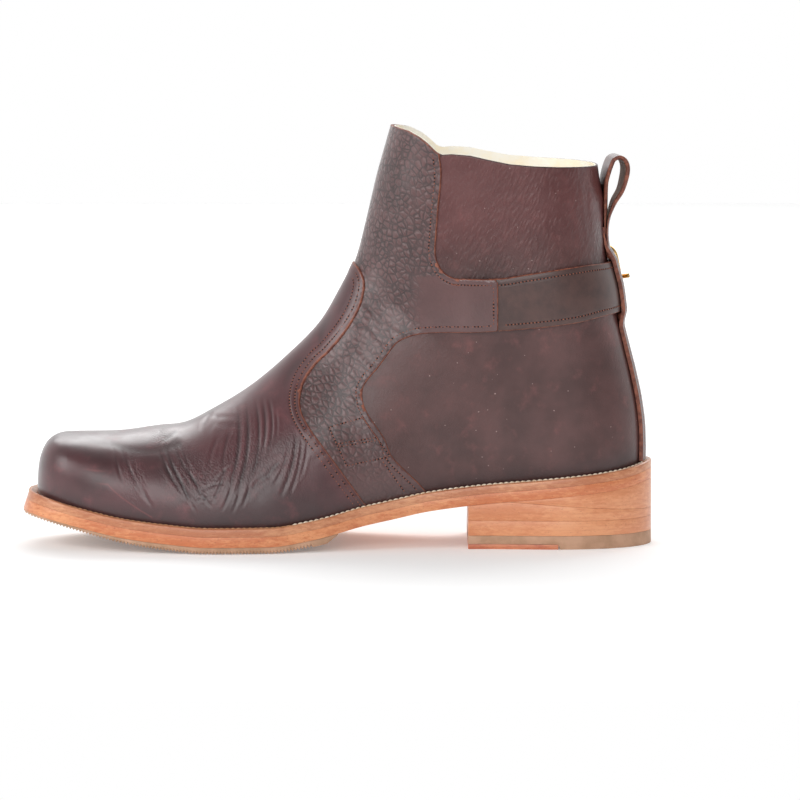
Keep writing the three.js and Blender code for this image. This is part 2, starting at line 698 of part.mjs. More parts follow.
function makeStrap(prongSlot) {
  const middle = BOOT_HEIGHT * (STRAP_EDGES[0].low + STRAP_EDGES[0].high) / 2;
  const start = turnAt(STRAP_END + BUCKLE_BAR, middle);
  const end = -turnAt(STRAP_TIP, middle);
  const rows = spread(start, end, 52).map((turn) => {
    const x = wrapX(middle, turn);
    const side = turn < 0 ? 'lateral' : 'medial';
    const tip = side === 'lateral' ? clamp((x - STRAP_TIP + STRAP_TIP_LENGTH) / STRAP_TIP_LENGTH, 0, 1) : 0;
    const narrow = 0.5 * Math.pow(tip, 2) * 0.9;
    const inside = strapFloor(x, side);
    return {
      turn,
      low: mix(strapEdge.low(x), strapEdge.high(x), narrow),
      high: mix(strapEdge.high(x), strapEdge.low(x), narrow),
      inside,
      outside: inside + STRAP_THICKNESS,
    };
  });
  return band(rows, 3).subtract(prongSlot).subtract(underTab);
}

// Billet: the lateral strap end that carries the buckle, from the front panel back to the bar
function makeBillet() {
  const middle = strapMiddle(STRAP_END);
  const front = -turnAt(STRAP_END + BUCKLE_BAR, middle);
  const rows = spread(front, -turnAt(BAR_PLACE + BUCKLE_BAR / 2 + GAP, middle), 14).map((turn) => {
    const x = wrapX(middle, turn);
    const trim = BUCKLE_BAR / 2;
    return {
      turn,
      low: strapEdge.low(x) + trim,
      high: strapEdge.high(x) - trim,
      inside: GAP,
      outside: billetTop,
    };
  });
  return band(rows, 3).subtract(underTab);
}

// Buckle: its plane runs from the front bar back to where the frame clears the back strip
const barTurn = -turnOfX(BAR_PLACE);
const onBar = (z) => wrapOffset(z, barTurn, barHeight);
const barCentre = onBar(strapMiddle(BAR_PLACE));
const barUp = onBar(strapEdge.high(BAR_PLACE)).sub(onBar(strapEdge.low(BAR_PLACE))).normalize();
const BUCKLE_ANGLE = THREE.MathUtils.degToRad(42); // the frame's slant to the boot's middle plane
function turnOfX(x) {
  const z = strapMiddle(x);
  const deep = 1 - (x - backOf(z)) / WRAP;
  return deep > 0 ? Math.acos(clamp(deep, -1, 1)) : turnAt(x, z);
}
function inBuckleFrame(geometry) {
  const slant = new THREE.Vector3(-Math.cos(BUCKLE_ANGLE), Math.sin(BUCKLE_ANGLE), 0);
  const back = slant.addScaledVector(barUp, -slant.dot(barUp)).normalize();
  const inward = new THREE.Vector3().crossVectors(back, barUp);
  const basis = new THREE.Matrix4().makeBasis(back, barUp, inward);
  geometry.applyMatrix4(basis);
  geometry.translate(barCentre.x, barCentre.y, barCentre.z);
  return toSolid(geometry);
}
function roundedRectangle(Kind, left, right, low, high, corner) {
  const path = new Kind();
  path.moveTo(left + corner, low);
  path.lineTo(right - corner, low);
  path.absarc(right - corner, low + corner, corner, -Math.PI / 2, 0, false);
  path.lineTo(right, high - corner);
  path.absarc(right - corner, high - corner, corner, 0, Math.PI / 2, false);
  path.lineTo(left + corner, high);
  path.absarc(left + corner, high - corner, corner, Math.PI / 2, Math.PI, false);
  path.lineTo(left, low + corner);
  path.absarc(left + corner, low + corner, corner, Math.PI, 1.5 * Math.PI, false);
  return path;
}
function makeBuckleFrame() {
  const half = (strapEdge.high(BAR_PLACE) - strapEdge.low(BAR_PLACE)) / 2 + BUCKLE_PLAY;
  const bar = BUCKLE_BAR / 2;
  const outer = half + BUCKLE_BAR;
  const shape = roundedRectangle(THREE.Shape, -bar, BUCKLE_LENGTH - bar, -outer, outer, BUCKLE_CORNER);
  const inner = roundedRectangle(
    THREE.Path, bar, BUCKLE_LENGTH - bar - BUCKLE_BAR, -half, half, BUCKLE_CORNER - BUCKLE_BAR,
  );
  shape.holes.push(inner);
  const geometry = new THREE.ExtrudeGeometry(shape, {
    depth: BUCKLE_THICKNESS, bevelEnabled: false, curveSegments: 4,
  });
  geometry.translate(0, 0, -BUCKLE_THICKNESS / 2);
  return inBuckleFrame(geometry);
}

// Prong: hinged behind the front bar, through the strap and on top of the rear bar
function prongShape(grow) {
  const low = BUCKLE_THICKNESS / 2 + GAP;
  const start = BUCKLE_BAR / 2 + GAP;
  const end = BUCKLE_LENGTH - BUCKLE_BAR / 2 + PRONG_TIP;
  const top = low + PRONG_THICKNESS;
  const shape = new THREE.Shape([
    new THREE.Vector2(start - grow, BUCKLE_THICKNESS / 2 + grow),
    new THREE.Vector2(start + PRONG_THICKNESS + grow, BUCKLE_THICKNESS / 2 + grow),
    new THREE.Vector2(start + 2 * PRONG_THICKNESS + grow, grow - low),
    new THREE.Vector2(end + grow, grow - low),
    new THREE.Vector2(end + grow, 0.4 - top - grow),
    new THREE.Vector2(start - grow, -top - grow),
  ]);
  const width = PRONG_WIDTH + 2 * grow;
  const geometry = new THREE.ExtrudeGeometry(shape, { depth: width, bevelEnabled: false });
  geometry.translate(0, 0, -width / 2);
  geometry.rotateX(Math.PI / 2);
  return inBuckleFrame(geometry);
}

// Keeper: a channel over the strap, with its ends down on the quarter
function makeKeeper() {
  const middle = strapMiddle(KEEPER_PLACE);
  const top = billetTop + GAP + STRAP_THICKNESS + GAP;
  const side = 2 * GAP;
  const from = -turnAt(KEEPER_PLACE - KEEPER_WIDTH / 2, middle);
  const to = -turnAt(KEEPER_PLACE + KEEPER_WIDTH / 2, middle);
  const rows = (low, high, inside) => spread(from, to, 2).map((turn) => ({
    turn,
    low: low(wrapX(middle, turn)),
    high: high(wrapX(middle, turn)),
    inside,
    outside: top + KEEPER_THICKNESS,
  }));
  const low = (x) => strapEdge.low(x) - side;
  const high = (x) => strapEdge.high(x) + side;
  const bridge = band(rows((x) => low(x) - KEEPER_THICKNESS, (x) => high(x) + KEEPER_THICKNESS, top), 5);
  const lower = band(rows((x) => low(x) - KEEPER_THICKNESS, low, GAP), 1);
  const upper = band(rows(high, (x) => high(x) + KEEPER_THICKNESS, GAP), 1);
  return bridge.add(lower).add(upper);
}

// Back strip: from the welt up over the strap, folded into the pull loop
const strapBack = { low: BOOT_HEIGHT * STRAP_EDGES[0].low, high: BOOT_HEIGHT * STRAP_EDGES[0].high };
function stripFloor(z) {
  const over = STRAP_THICKNESS + 1.5 * GAP;
  const margin = 2;
  const ramp = 4;
  const up = ease(strapBack.low - margin - ramp, strapBack.low - margin, z);
  const down = ease(strapBack.high + margin, strapBack.high + margin + ramp, z);
  return GAP + over * (up - down);
}
function turnForY(z, y) {
  let low = 0;
  let high = Math.PI / 2;
  for (let i = 0; i < 24; i += 1) {
    const middle = (low + high) / 2;
    if (surfaceHalf(wrapX(z, middle), z, 'medial') < y) low = middle;
    else high = middle;
  }
  return low;
}
function makeBackStrip() {
  const bottom = weltTop(backOf(weltTop(0))) + 2 * GAP;
  const top = 0.75 * BOOT_HEIGHT;
  const rings = spread(bottom, top, 30).map((z) => {
    const edge = turnForY(z, STRIP_WIDTH / 2);
    const turns = spread(-edge, edge, 4);
    const inside = stripFloor(z);
    const layer = (offset, order) => order.map((turn) => {
      const point = wrapOffset(z, turn === 0 ? 1e-6 : turn, offset);
      return [point.x, point.y, z];
    });
    return [...layer(inside + STRIP_THICKNESS, turns), ...layer(inside, [...turns].reverse())];
  });
  const profile = (rows, count) => {
    const points = rows.map((row) => {
      const z = row.z * BOOT_HEIGHT;
      return new THREE.Vector3(backOf(z) - GAP - row.out * BOOT_HEIGHT, 0, z);
    });
    return smoothLine(points).getPoints(count).map((p) => [p.x, p.z]);
  };
  const outside = across(profile(LOOP_OUTSIDE, 40), -LOOP_WIDTH / 2, LOOP_WIDTH / 2);
  const inside = across(profile(LOOP_INSIDE, 32), -LOOP_WIDTH, LOOP_WIDTH);
  return toSolid(loft(rings)).add(outside.subtract(inside)).subtract(clearForm);
}

// A layer of the sole between two height functions
function layer(from, to, bottom, top, inset, count) {
  const stations = soleStations(from, to, inset, count);
  return toSolid(loft(stations.map((x) => {
    const middle = middleLine(x);
    const medial = middle + Math.max(1, soleHalf(x, 'medial', inset));
    const lateral = middle - Math.max(1, soleHalf(x, 'lateral', inset));
    return [
      [x, medial, bottom(x)],
      [x, medial, top(x)],
      [x, lateral, top(x)],
      [x, lateral, bottom(x)],
    ];
  })));
}

// Places along the sole: close together at its round ends, and on the ends of the flat spot
function soleStations(from, to, inset, count) {
  const ends = { heel: inset, toe: SOLE_LENGTH - inset };
  const first = Math.max(from, ends.heel);
  const last = Math.min(to, ends.toe);
  const heelPart = 0.1 * SOLE_LENGTH;
  const toePart = 0.12 * SOLE_LENGTH;
  const bow = (share) => 1 - Math.cos((Math.PI / 2) * share);
  const places = spread(0, 1, 9).map((share) => ends.heel + heelPart * bow(share));
  places.push(...spread(ends.heel + heelPart, ends.toe - toePart, count));
  places.push(...spread(0, 1, 10).map((share) => ends.toe - toePart * bow(share)));
  places.push(BALL_FLAT.start * SOLE_LENGTH, BALL_FLAT.end * SOLE_LENGTH, first, last);
  const inRange = places.filter((x) => x >= first && x <= last).sort((a, b) => a - b);
  return inRange.filter((x, i) => i === 0 || x - inRange[i - 1] > 0.05);
}

const makeOutsole = () => layer(0, SOLE_LENGTH, outsoleBottom, outsoleTop, 0, 22);
function makeWelt() {
  const ring = layer(0, SOLE_LENGTH, (x) => weltTop(x) - WELT_THICKNESS, weltTop, HALF_SOLE_INSET, 22);
  return ring.subtract(form(-WALL));
}
function makeInsole() {
  const slab = layer(0, SOLE_LENGTH, (x) => weltTop(x) - WELT_THICKNESS,
    (x) => weltTop(x) + INSOLE_THICKNESS, 0, 22);
  return slab.intersect(form(-WALL - GAP));
}
function makeHalfSole() {
  const thin = (x) => mix(HALF_SOLE_THICKNESS, HALF_SOLE_TOE_THICKNESS, ease(0.72, 1, x / SOLE_LENGTH));
  const skive = (x) => clamp((x - HALF_SOLE_START) / HALF_SOLE_SKIVE, 0, 1);
  const thickness = (x) => mix(2 * GAP, thin(x), skive(x));
  const bottom = (x) => Math.max(0, outsoleBottom(x) - thickness(x));
  return layer(HALF_SOLE_START, SOLE_LENGTH, bottom, (x) => outsoleBottom(x) - GAP, HALF_SOLE_INSET, 20);
}

// Heel: rubber and leather insert on the floor, leather stack, wedge up to the outsole
const stackTop = (x) => {
  const line = mix(STACK_BACK_HEIGHT, outsoleBottom(WEDGE_LENGTH) - 2 * GAP - WEDGE_EDGE, x / WEDGE_LENGTH);
  return Math.min(line, outsoleBottom(x) - GAP);
};
const breast = across([
  [HEEL_LENGTH, -1],
  [SOLE_LENGTH, -1],
  [SOLE_LENGTH, BOOT_HEIGHT],
  [HEEL_LENGTH - 1, BOOT_HEIGHT],
]);
const heelLayer = (bottom, top) => layer(0, HEEL_LENGTH + GAP, bottom, top, HEEL_INSET, 22);
const liftTop = TOP_LIFT_HEIGHT + LIFT_HEIGHT;
const insertStart = HEEL_LENGTH - INSERT_LENGTH;
const insertSpace = (grow) => across([
  [insertStart - grow, -1],
  [SOLE_LENGTH, -1],
  [SOLE_LENGTH, INSERT_HEIGHT + grow],
  [insertStart - grow, INSERT_HEIGHT + grow],
]);
const topLiftBlock = heelLayer(() => 0, () => TOP_LIFT_HEIGHT).subtract(breast);
const makeTopLift = () => topLiftBlock.subtract(insertSpace(GAP));
const makeInsert = () => topLiftBlock.intersect(insertSpace(0));
const makeLowerLift = () => heelLayer(() => TOP_LIFT_HEIGHT, () => liftTop).subtract(breast);
const makeUpperLift = () => heelLayer(() => liftTop, stackTop).subtract(breast);
function makeWedge() {
  const bottom = (x) => stackTop(x) + GAP;
  return layer(0, WEDGE_LENGTH, bottom, (x) => outsoleBottom(x) - GAP, HEEL_INSET, 22);
}

// Materials
function finish(color, roughness, metalness = 0) {
  return new THREE.MeshStandardMaterial({ color, roughness, metalness });
}
const upperLeather = finish('#5e4a4b', 0.42);
const strapLeather = finish('#5f5150', 0.45);
const liningLeather = finish('#ead9ba', 0.7);
const soleLeather = finish('#d9956c', 0.5);
const weltLeather = finish('#c98560', 0.55);
const soleRubber = finish('#b39b7a', 0.75);
const brass = finish('#e8c79a', 0.3, 1);

const boot = new THREE.Group();
function addPiece(name, solid, material) {
  const mesh = new THREE.Mesh(toGeometry(solid), material);
  mesh.name = name;
  boot.add(mesh);
}
addPiece('upper', makeUpper(), upperLeather);
addPiece('insole', makeInsole(), liningLeather);
addPiece('welt', makeWelt(), weltLeather);
addPiece('outsole', makeOutsole(), soleLeather);
addPiece('half_sole', makeHalfSole(), soleRubber);
addPiece('heel_wedge', makeWedge(), soleLeather);
addPiece('heel_lift_upper', makeUpperLift(), soleLeather);
addPiece('heel_lift_lower', makeLowerLift(), soleLeather);
addPiece('top_lift', makeTopLift(), soleRubber);
addPiece('top_lift_insert', makeInsert(), soleLeather);
addPiece('ankle_strap', makeStrap(prongShape(GAP)), strapLeather);
addPiece('buckle_billet', makeBillet(), strapLeather);
addPiece('strap_keeper', makeKeeper(), strapLeather);
addPiece('back_strip', makeBackStrip(), strapLeather);
addPiece('buckle_frame', makeBuckleFrame(), brass);
addPiece('buckle_prong', prongShape(0), brass);
boot.position.set(-HEEL_REST, 0, 0);

export default boot;
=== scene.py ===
import math

import bpy
import numpy as np
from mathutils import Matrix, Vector


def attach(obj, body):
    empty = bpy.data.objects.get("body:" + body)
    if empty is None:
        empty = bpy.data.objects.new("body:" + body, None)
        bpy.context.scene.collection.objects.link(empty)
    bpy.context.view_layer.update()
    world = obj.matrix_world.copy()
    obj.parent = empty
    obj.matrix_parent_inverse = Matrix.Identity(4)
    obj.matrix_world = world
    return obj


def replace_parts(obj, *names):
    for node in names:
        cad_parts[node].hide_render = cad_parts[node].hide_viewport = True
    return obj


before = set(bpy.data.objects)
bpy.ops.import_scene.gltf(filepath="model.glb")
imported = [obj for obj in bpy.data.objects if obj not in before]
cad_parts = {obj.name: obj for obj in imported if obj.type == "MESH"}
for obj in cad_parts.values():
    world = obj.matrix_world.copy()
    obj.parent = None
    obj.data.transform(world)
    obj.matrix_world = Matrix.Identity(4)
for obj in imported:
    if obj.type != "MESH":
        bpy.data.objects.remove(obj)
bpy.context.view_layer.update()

# Sizes in millimetres, measured from the back of the heel; the frame's origin lies HEEL_REST
# further forward, on the floor. +X to the toe, +Y to the inner side of this right boot.
HEEL_REST = 25.0
SOLE_LENGTH = 305.0
BOOT_HEIGHT = 205.0
BALL_WIDTH = 105.6
ANKLE_WIDTH = 70.0
HEEL_RISE = 28.7
TOE_SPRING = 14.7
WELT_THICKNESS = 4.0
WELT_SHOW = 4.0
TOE_SHOW = 8.9
OUTSOLE_THICKNESS = 5.0
HALF_SOLE_THICKNESS = 3.3
HALF_SOLE_TOE_THICKNESS = 1.5
HALF_SOLE_START = 152.0
HALF_SOLE_SKIVE = 5.0
HEEL_LENGTH = 89.5
TOP_LIFT_HEIGHT = 6.5
LIFT_HEIGHT = 7.2
STACK_BACK_HEIGHT = 17.6
WEDGE_LENGTH = 68.0
INSERT_LENGTH = 43.4
INSERT_HEIGHT = 2.4
WALL = 1.5
PANEL_STEP = 0.9
VAMP_STEP = 0.9
SKIRT = 14.0
HEEL_CURVE = 38.0
TOE_BOX_HEIGHT = 26.2
NOSE_LENGTH = 14.6
LEAST_HALF_WIDTH = 0.4
BACK_SEAM_START = 6.0
BLUNT_TIP = (0.95, 0.98)
STRAP_THICKNESS = 2.3
STRAP_END = 75.0
STRAP_TIP = 70.0
STRAP_TIP_LENGTH = 14.0
STRIP_THICKNESS = 1.8
STRIP_WIDTH = 20.0
LOOP_WIDTH = 18.0
BILLET_THICKNESS = 2.0
GAP = 0.3
WRAP = 30.0
TAB_RISE = 3.5
STRAP_CLIMB = 9.0
STRAP_FALL = 14.0
BAR_PLACE = 30.0
BUCKLE_BAR = 3.0
BUCKLE_THICKNESS = 2.0
BUCKLE_LENGTH = 20.0
BUCKLE_CORNER = 7.0
BUCKLE_PLAY = 1.2
BUCKLE_ANGLE = 42.0
PRONG_WIDTH = 2.4
PRONG_THICKNESS = 1.6
PRONG_TIP = 3.0
KEEPER_WIDTH = 9.0
KEEPER_THICKNESS = 1.4
KEEPER_PLACE = 52.0

# The same tables as the solids: shares of the sole's length, the boot's height and so on.
SOLE_SIDE = np.array([  # place, heel rise, toe spring
    (0, 1, 0), (0.049, 0.88, 0), (0.151, 0.756, 0), (0.272, 0.638, 0), (0.357, 0.519, 0),
    (0.407, 0.408, 0), (0.456, 0.303, 0), (0.538, 0.094, 0), (0.607, 0, 0), (0.705, 0, 0),
    (0.77, 0, 0.095), (0.836, 0, 0.25), (0.905, 0, 0.55), (0.97, 0, 0.864), (1, 0, 1),
])
SOLE_TOP = np.array([  # place, medial and lateral half width, middle line
    (0, 0.306, 0.308, 0), (0.151, 0.308, 0.312, 0), (0.272, 0.289, 0.313, 0),
    (0.357, 0.294, 0.331, 0), (0.456, 0.341, 0.388, 0), (0.538, 0.417, 0.455, 0),
    (0.623, 0.474, 0.502, 0), (0.685, 0.489, 0.511, 0), (0.77, 0.459, 0.492, 0),
    (0.836, 0.417, 0.449, 0.003), (0.905, 0.36, 0.385, 0.016), (0.97, 0.32, 0.345, 0.04),
    (1, 0.3, 0.33, 0.055),
])
HEEL_ROUND = (0.151, 2.1)
TOE_ROUND = (0.86, 2.8)
FRONT_LINE = np.array([  # place, height, fullness of the section
    (0.923, 0.2546, 7), (0.847, 0.255, 4.6), (0.787, 0.267, 3.5), (0.741, 0.276, 3),
    (0.696, 0.309, 2.6), (0.635, 0.365, 2.15), (0.574, 0.4415, 2.1), (0.5246, 0.517, 2.3),
    (0.496, 0.587, 2.7), (0.4695, 0.668, 3), (0.4525, 0.761, 3.1), (0.4354, 0.869, 3.2),
    (0.419, 0.956, 3.2), (0.407, 1.02, 3.2),
])
BACK_LINE = np.array([  # place, height
    (0.019, 0.127), (0.016, 0.2146), (0.017, 0.273), (0.0216, 0.332), (0.0328, 0.412),
    (0.0413, 0.461), (0.0538, 0.5366), (0.0605, 0.605), (0.0715, 0.671), (0.0767, 0.7366),
    (0.078, 0.8146), (0.085, 0.865), (0.09, 0.927), (0.092, 1.01),
])
UNDER_SOLE = (0.923, 0.85, 0.75, 0.65, 0.55, 0.45, 0.35, 0.25, 0.15, 0.09, 0.05, 0.03)
SECTION_PAIRS = np.array([  # share along the front line, share along the low line
    (0, 0), (0.226, 0.122), (0.38, 0.213), (0.48, 0.27), (0.57, 0.343), (0.64, 0.45),
    (0.675, 0.585), (0.695, 0.63), (0.75, 0.725), (0.86, 0.855), (1, 1),
])
SHAFT_WIDTH = np.array([  # height, half width
    (0.2, 0.443), (0.4, 0.45), (0.5, 0.468), (0.6, 0.492), (0.75, 0.5), (0.93, 0.52), (1, 0.53),
])
SHAFT_BLEND = (0.24, 0.56)
FEATHER_TUCK = (0.05, 7.0)
STRAP_EDGES = np.array([  # place, low edge, high edge
    (0.05, 0.552, 0.668), (0.09, 0.546, 0.668), (0.13, 0.535, 0.663), (0.193, 0.524, 0.65),
    (0.246, 0.517, 0.639), (0.31, 0.51, 0.638), (0.36, 0.505, 0.636),
])
COLLAR_EDGE = (  # place, height
    (0.04, 0.892), (0.096, 0.897), (0.152, 0.8995), (0.191, 0.902), (0.23, 0.907),
    (0.262, 0.9165), (0.291, 0.926), (0.32, 0.929), (0.336, 0.927), (0.345, 0.934),
    (0.356, 0.95), (0.3695, 0.966), (0.388, 0.9805), (0.4154, 0.99), (0.45, 1.0),
)
VAMP_EDGE = (
    (0.52, 0.78), (0.474, 0.67), (0.4616, 0.649), (0.455, 0.622), (0.4577, 0.588),
    (0.466, 0.5537), (0.486, 0.504), (0.5125, 0.4566), (0.53, 0.432), (0.551, 0.388),
    (0.5577, 0.3527), (0.5557, 0.322), (0.545, 0.291), (0.5148, 0.229), (0.455, 0.105),
    (0.42, 0.03),
)
PANEL_LOW_EDGE = (
    (0.325, 0.03), (0.359, 0.132), (0.414, 0.2195), (0.4252, 0.2595), (0.4495, 0.3137),
    (0.4567, 0.335), (0.46, 0.356), (0.4597, 0.3746), (0.4534, 0.394), (0.4374, 0.422),
    (0.4233, 0.4498), (0.413, 0.471), (0.403, 0.4863), (0.3784, 0.5015), (0.354, 0.507),
    (0.3095, 0.51),
)
PANEL_TOP_EDGE = (
    (0.2885, 0.638), (0.3085, 0.6366), (0.3246, 0.644), (0.337, 0.6605), (0.343, 0.6815),
    (0.345, 0.7054), (0.344, 0.73), (0.3393, 0.8195), (0.336, 0.868), (0.336, 0.892),
    (0.339, 0.93), (0.345, 1.03),
)


def mix(a, b, share):
    return a + (b - a) * share


def ease(low, high, value):
    share = np.clip((np.asarray(value, float) - low) / (high - low), 0, 1)
    return share * share * (3 - 2 * share)


def round_end(share, power):
    return (1 - np.clip(share, 0, 1) ** power) ** (1 / power)


def column(rows, source, target):
    """One column of a table as a smooth function of another, without overshoot."""
    rows = np.asarray(rows, float)
    xs, ys = rows[:, source], rows[:, target]
    rise = np.diff(ys) / np.diff(xs)
    slopes = np.empty_like(ys)
    slopes[0], slopes[-1] = rise[0], rise[-1]
    before, after = rise[:-1], rise[1:]
    total = np.where(before * after > 0, before + after, 1.0)
    slopes[1:-1] = np.where(before * after > 0, 2 * before * after / total, 0.0)

    def at(x):
        x = np.clip(np.asarray(x, float), xs[0], xs[-1])
        i = np.clip(np.searchsorted(xs, x, side="right") - 1, 0, len(xs) - 2)
        span = xs[i + 1] - xs[i]
        t = (x - xs[i]) / span
        own = (1 + 2 * t) * (1 - t) ** 2 * ys[i] + t * (1 - t) ** 2 * span * slopes[i]
        return own + t * t * (3 - 2 * t) * ys[i + 1] - t * t * (1 - t) * span * slopes[i + 1]

    return at


def smooth_line(points, steps=40):
    """A centripetal curve through points, as a dense polyline."""
    points = np.asarray(points, float)
    ends = (2 * points[0] - points[1], 2 * points[-1] - points[-2])
    padded = np.vstack([ends[0], points, ends[1]])
    parts = []
    for i in range(1, len(padded) - 2):
        p0, p1, p2, p3 = padded[i - 1:i + 3]
        d0, d1, d2 = (np.linalg.norm(b - a) ** 0.5 for a, b in ((p0, p1), (p1, p2), (p2, p3)))
        m1 = ((p1 - p0) / d0 - (p2 - p0) / (d0 + d1) + (p2 - p1) / d1) * d1
        m2 = ((p2 - p1) / d1 - (p3 - p1) / (d1 + d2) + (p3 - p2) / d2) * d1
        t = np.linspace(0, 1, steps, endpoint=False)[:, None]
        parts.append(p1 + m1 * t + (-3 * p1 + 3 * p2 - 2 * m1 - m2) * t * t
                     + (2 * p1 - 2 * p2 + m1 + m2) * t ** 3)
    return np.vstack(parts + [points[-1:]])


def lengths(line):
    return np.concatenate([[0], np.cumsum(np.linalg.norm(np.diff(line, axis=0), axis=1))])


def along(line, share):
    """Points at shares of a polyline's length."""
    run = lengths(line)
    at = np.clip(share, 0, 1) * run[-1]
    return np.stack([np.interp(at, run, line[:, k]) for k in range(line.shape[1])], -1)


def resample(line, spacing):
    count = max(2, int(round(lengths(line)[-1] / spacing)) + 1)
    return along(line, np.linspace(0, 1, count))


SIDE_SCALE = np.array([SOLE_LENGTH, BOOT_HEIGHT])


def outline(rows):
    return smooth_line(np.asarray(rows, float)[:, :2] * SIDE_SCALE, 12)


# Heights and widths of the sole
heel_share = column(SOLE_SIDE, 0, 1)
toe_share = column(SOLE_SIDE, 0, 2)
BALL_HEIGHT = HALF_SOLE_THICKNESS + OUTSOLE_THICKNESS + WELT_THICKNESS


def welt_top(x):
    share = np.asarray(x, float) / SOLE_LENGTH
    return BALL_HEIGHT + HEEL_RISE * heel_share(share) + TOE_SPRING * toe_share(share)


def outsole_bottom(x):
    return welt_top(x) - WELT_THICKNESS - OUTSOLE_THICKNESS


medial_share = column(SOLE_TOP, 0, 1)
lateral_share = column(SOLE_TOP, 0, 2)
middle_share = column(SOLE_TOP, 0, 3)


def middle_line(x):
    return BALL_WIDTH * middle_share(np.asarray(x, float) / SOLE_LENGTH)


def sole_half(x, side, inset):
    """Half width of the sole; side is +1 on the medial side, -1 on the lateral side."""
    share = np.asarray(x, float) / SOLE_LENGTH
    inset_share = inset / SOLE_LENGTH
    heel_end = (HEEL_ROUND[0] - share) / (HEEL_ROUND[0] - inset_share)
    toe_end = (share - TOE_ROUND[0]) / (1 - inset_share - TOE_ROUND[0])
    wide = np.where(np.asarray(side) > 0, medial_share(share), lateral_share(share))
    ends = round_end(heel_end, HEEL_ROUND[1]) * round_end(toe_end, TOE_ROUND[1])
    return (BALL_WIDTH * wide - inset) * ends


# The form: sections from the low line to the front line
front_line = smooth_line(FRONT_LINE[:, :2] * SIDE_SCALE)
under_sole = [(s * SOLE_LENGTH, float(welt_top(s * SOLE_LENGTH)) - SKIRT) for s in UNDER_SOLE]
low_line = smooth_line(under_sole + [tuple(row) for row in BACK_LINE * SIDE_SCALE])
back_share = column(BACK_LINE, 1, 0)
NOSE_BACK = FRONT_LINE[0, 0] * SOLE_LENGTH
NOSE_FRONT = SOLE_LENGTH - TOE_SHOW
CROWN = FRONT_LINE[0, 1] * BOOT_HEIGHT


def back_of(z):
    return SOLE_LENGTH * back_share(np.asarray(z, float) / BOOT_HEIGHT)


def share_along(line, point):
    nearest = int(np.argmin(np.linalg.norm(line - np.asarray(point), axis=1)))
    run = lengths(line)
    return run[nearest] / run[-1]


fullness_rows = [(share_along(front_line, row[:2] * SIDE_SCALE), row[2]) for row in FRONT_LINE]
fullness_at = column(fullness_rows, 0, 1)
pair_rows = np.column_stack([SECTION_PAIRS.mean(axis=1), SECTION_PAIRS])
front_at = column(pair_rows, 0, 1)
low_at = column(pair_rows, 0, 2)


def section(q):
    """Low point, top point and fullness of sections: q from -1 (nose) through 0 to 1 (collar)."""
    q = np.asarray(q, float)
    x = NOSE_BACK + NOSE_LENGTH * np.sin(np.pi / 2 * np.clip(-q, 0, 1))
    nose_top = CROWN - TOE_BOX_HEIGHT * (1 - round_end((x - NOSE_BACK) / NOSE_LENGTH, 2.9))
    body = np.clip(q, 0, 1)
    front = front_at(body)
    top = along(front_line, front)
    low = along(low_line, low_at(body))
    is_nose = q < 0
    low = np.where(is_nose[..., None], np.stack([x, welt_top(x) - SKIRT], -1), low)
    top = np.where(is_nose[..., None], np.stack([x, nose_top], -1), top)
    full = np.where(is_nose, FRONT_LINE[0, 2], fullness_at(front))
    return low, top, full


shaft_share = column(SHAFT_WIDTH, 0, 1)


def form_half(x, z, side, t, fullness):
    height = z / BOOT_HEIGHT
    share = x / SOLE_LENGTH
    toe_end = (share - TOE_ROUND[0]) / (NOSE_FRONT / SOLE_LENGTH - TOE_ROUND[0])
    wide = np.where(side > 0, medial_share(share), lateral_share(share))
    foot = BALL_WIDTH * wide - WELT_SHOW
    shaft = ANKLE_WIDTH * shaft_share(height)
    body = mix(foot, shaft, ease(*SHAFT_BLEND, height))
    above = np.maximum(0, z - welt_top(x))
    tuck = 1 - FEATHER_TUCK[0] * np.exp(-above / FEATHER_TUCK[1])
    over_top = np.sqrt(1 - np.clip(t, 0, 1) ** fullness)
    round_back = round_end(1 - (x - back_of(z)) / HEEL_CURVE, 2.2)
    return body * tuck * over_top * round_back * round_end(toe_end, TOE_ROUND[1])


def sides_meet(q, r, z):
    """The toe's foremost line, and the back line above the heel's rounding."""
    at_back = (np.abs(r) > 1 - 1e-6) & (z > welt_top(0) + BACK_SEAM_START)
    return at_back | (q < 1e-6 - 1)


def form_point(q, r):
    """A point of the form: r from -1 (medial, low) over 0 (front line) to 1 (lateral, low)."""
    low, top, fullness = section(q)
    t = (1 + np.cos(np.pi * r)) / 2
    x = mix(low[..., 0], top[..., 0], t)
    z = mix(low[..., 1], top[..., 1], t)
    side = np.where(r < 0, 1.0, -1.0)
    half = form_half(x, z, side, t, fullness)
    least = LEAST_HALF_WIDTH * np.abs(np.tanh(r * 40))
    half = np.where(np.abs(r) < 1e-9, 0, np.maximum(half, least))
    half = np.where(sides_meet(q, r, z), 0, half)
    return np.stack([x, middle_line(x) + side * half, z], -1)


def form_normal(q, r):
    step_q, step_r = 0.004, 0.006
    q0, q1 = np.clip(q - step_q, -1, 1), np.clip(q + step_q, -1, 1)
    r0, r1 = np.clip(r - step_r, -1, 1), np.clip(r + step_r, -1, 1)
    normal = np.cross(form_point(q1, r) - form_point(q0, r), form_point(q, r1) - form_point(q, r0))
    normal = normal / np.maximum(np.linalg.norm(normal, axis=-1, keepdims=True), 1e-9)
    normal = mix(normal, np.array([1.0, 0, 0]), ease(*BLUNT_TIP, -q)[..., None])
    z = form_point(q, r)[..., 2]
    slope = np.where(q < 0, 0, back_of(z + 0.5) - back_of(z - 0.5))[..., None]
    outwards = np.concatenate([np.sign(-q[..., None]), 0 * slope, slope], -1)
    outwards = outwards / np.maximum(np.linalg.norm(outwards, axis=-1, keepdims=True), 1e-9)
    return np.where(sides_meet(q, r, z)[..., None], outwards, normal)


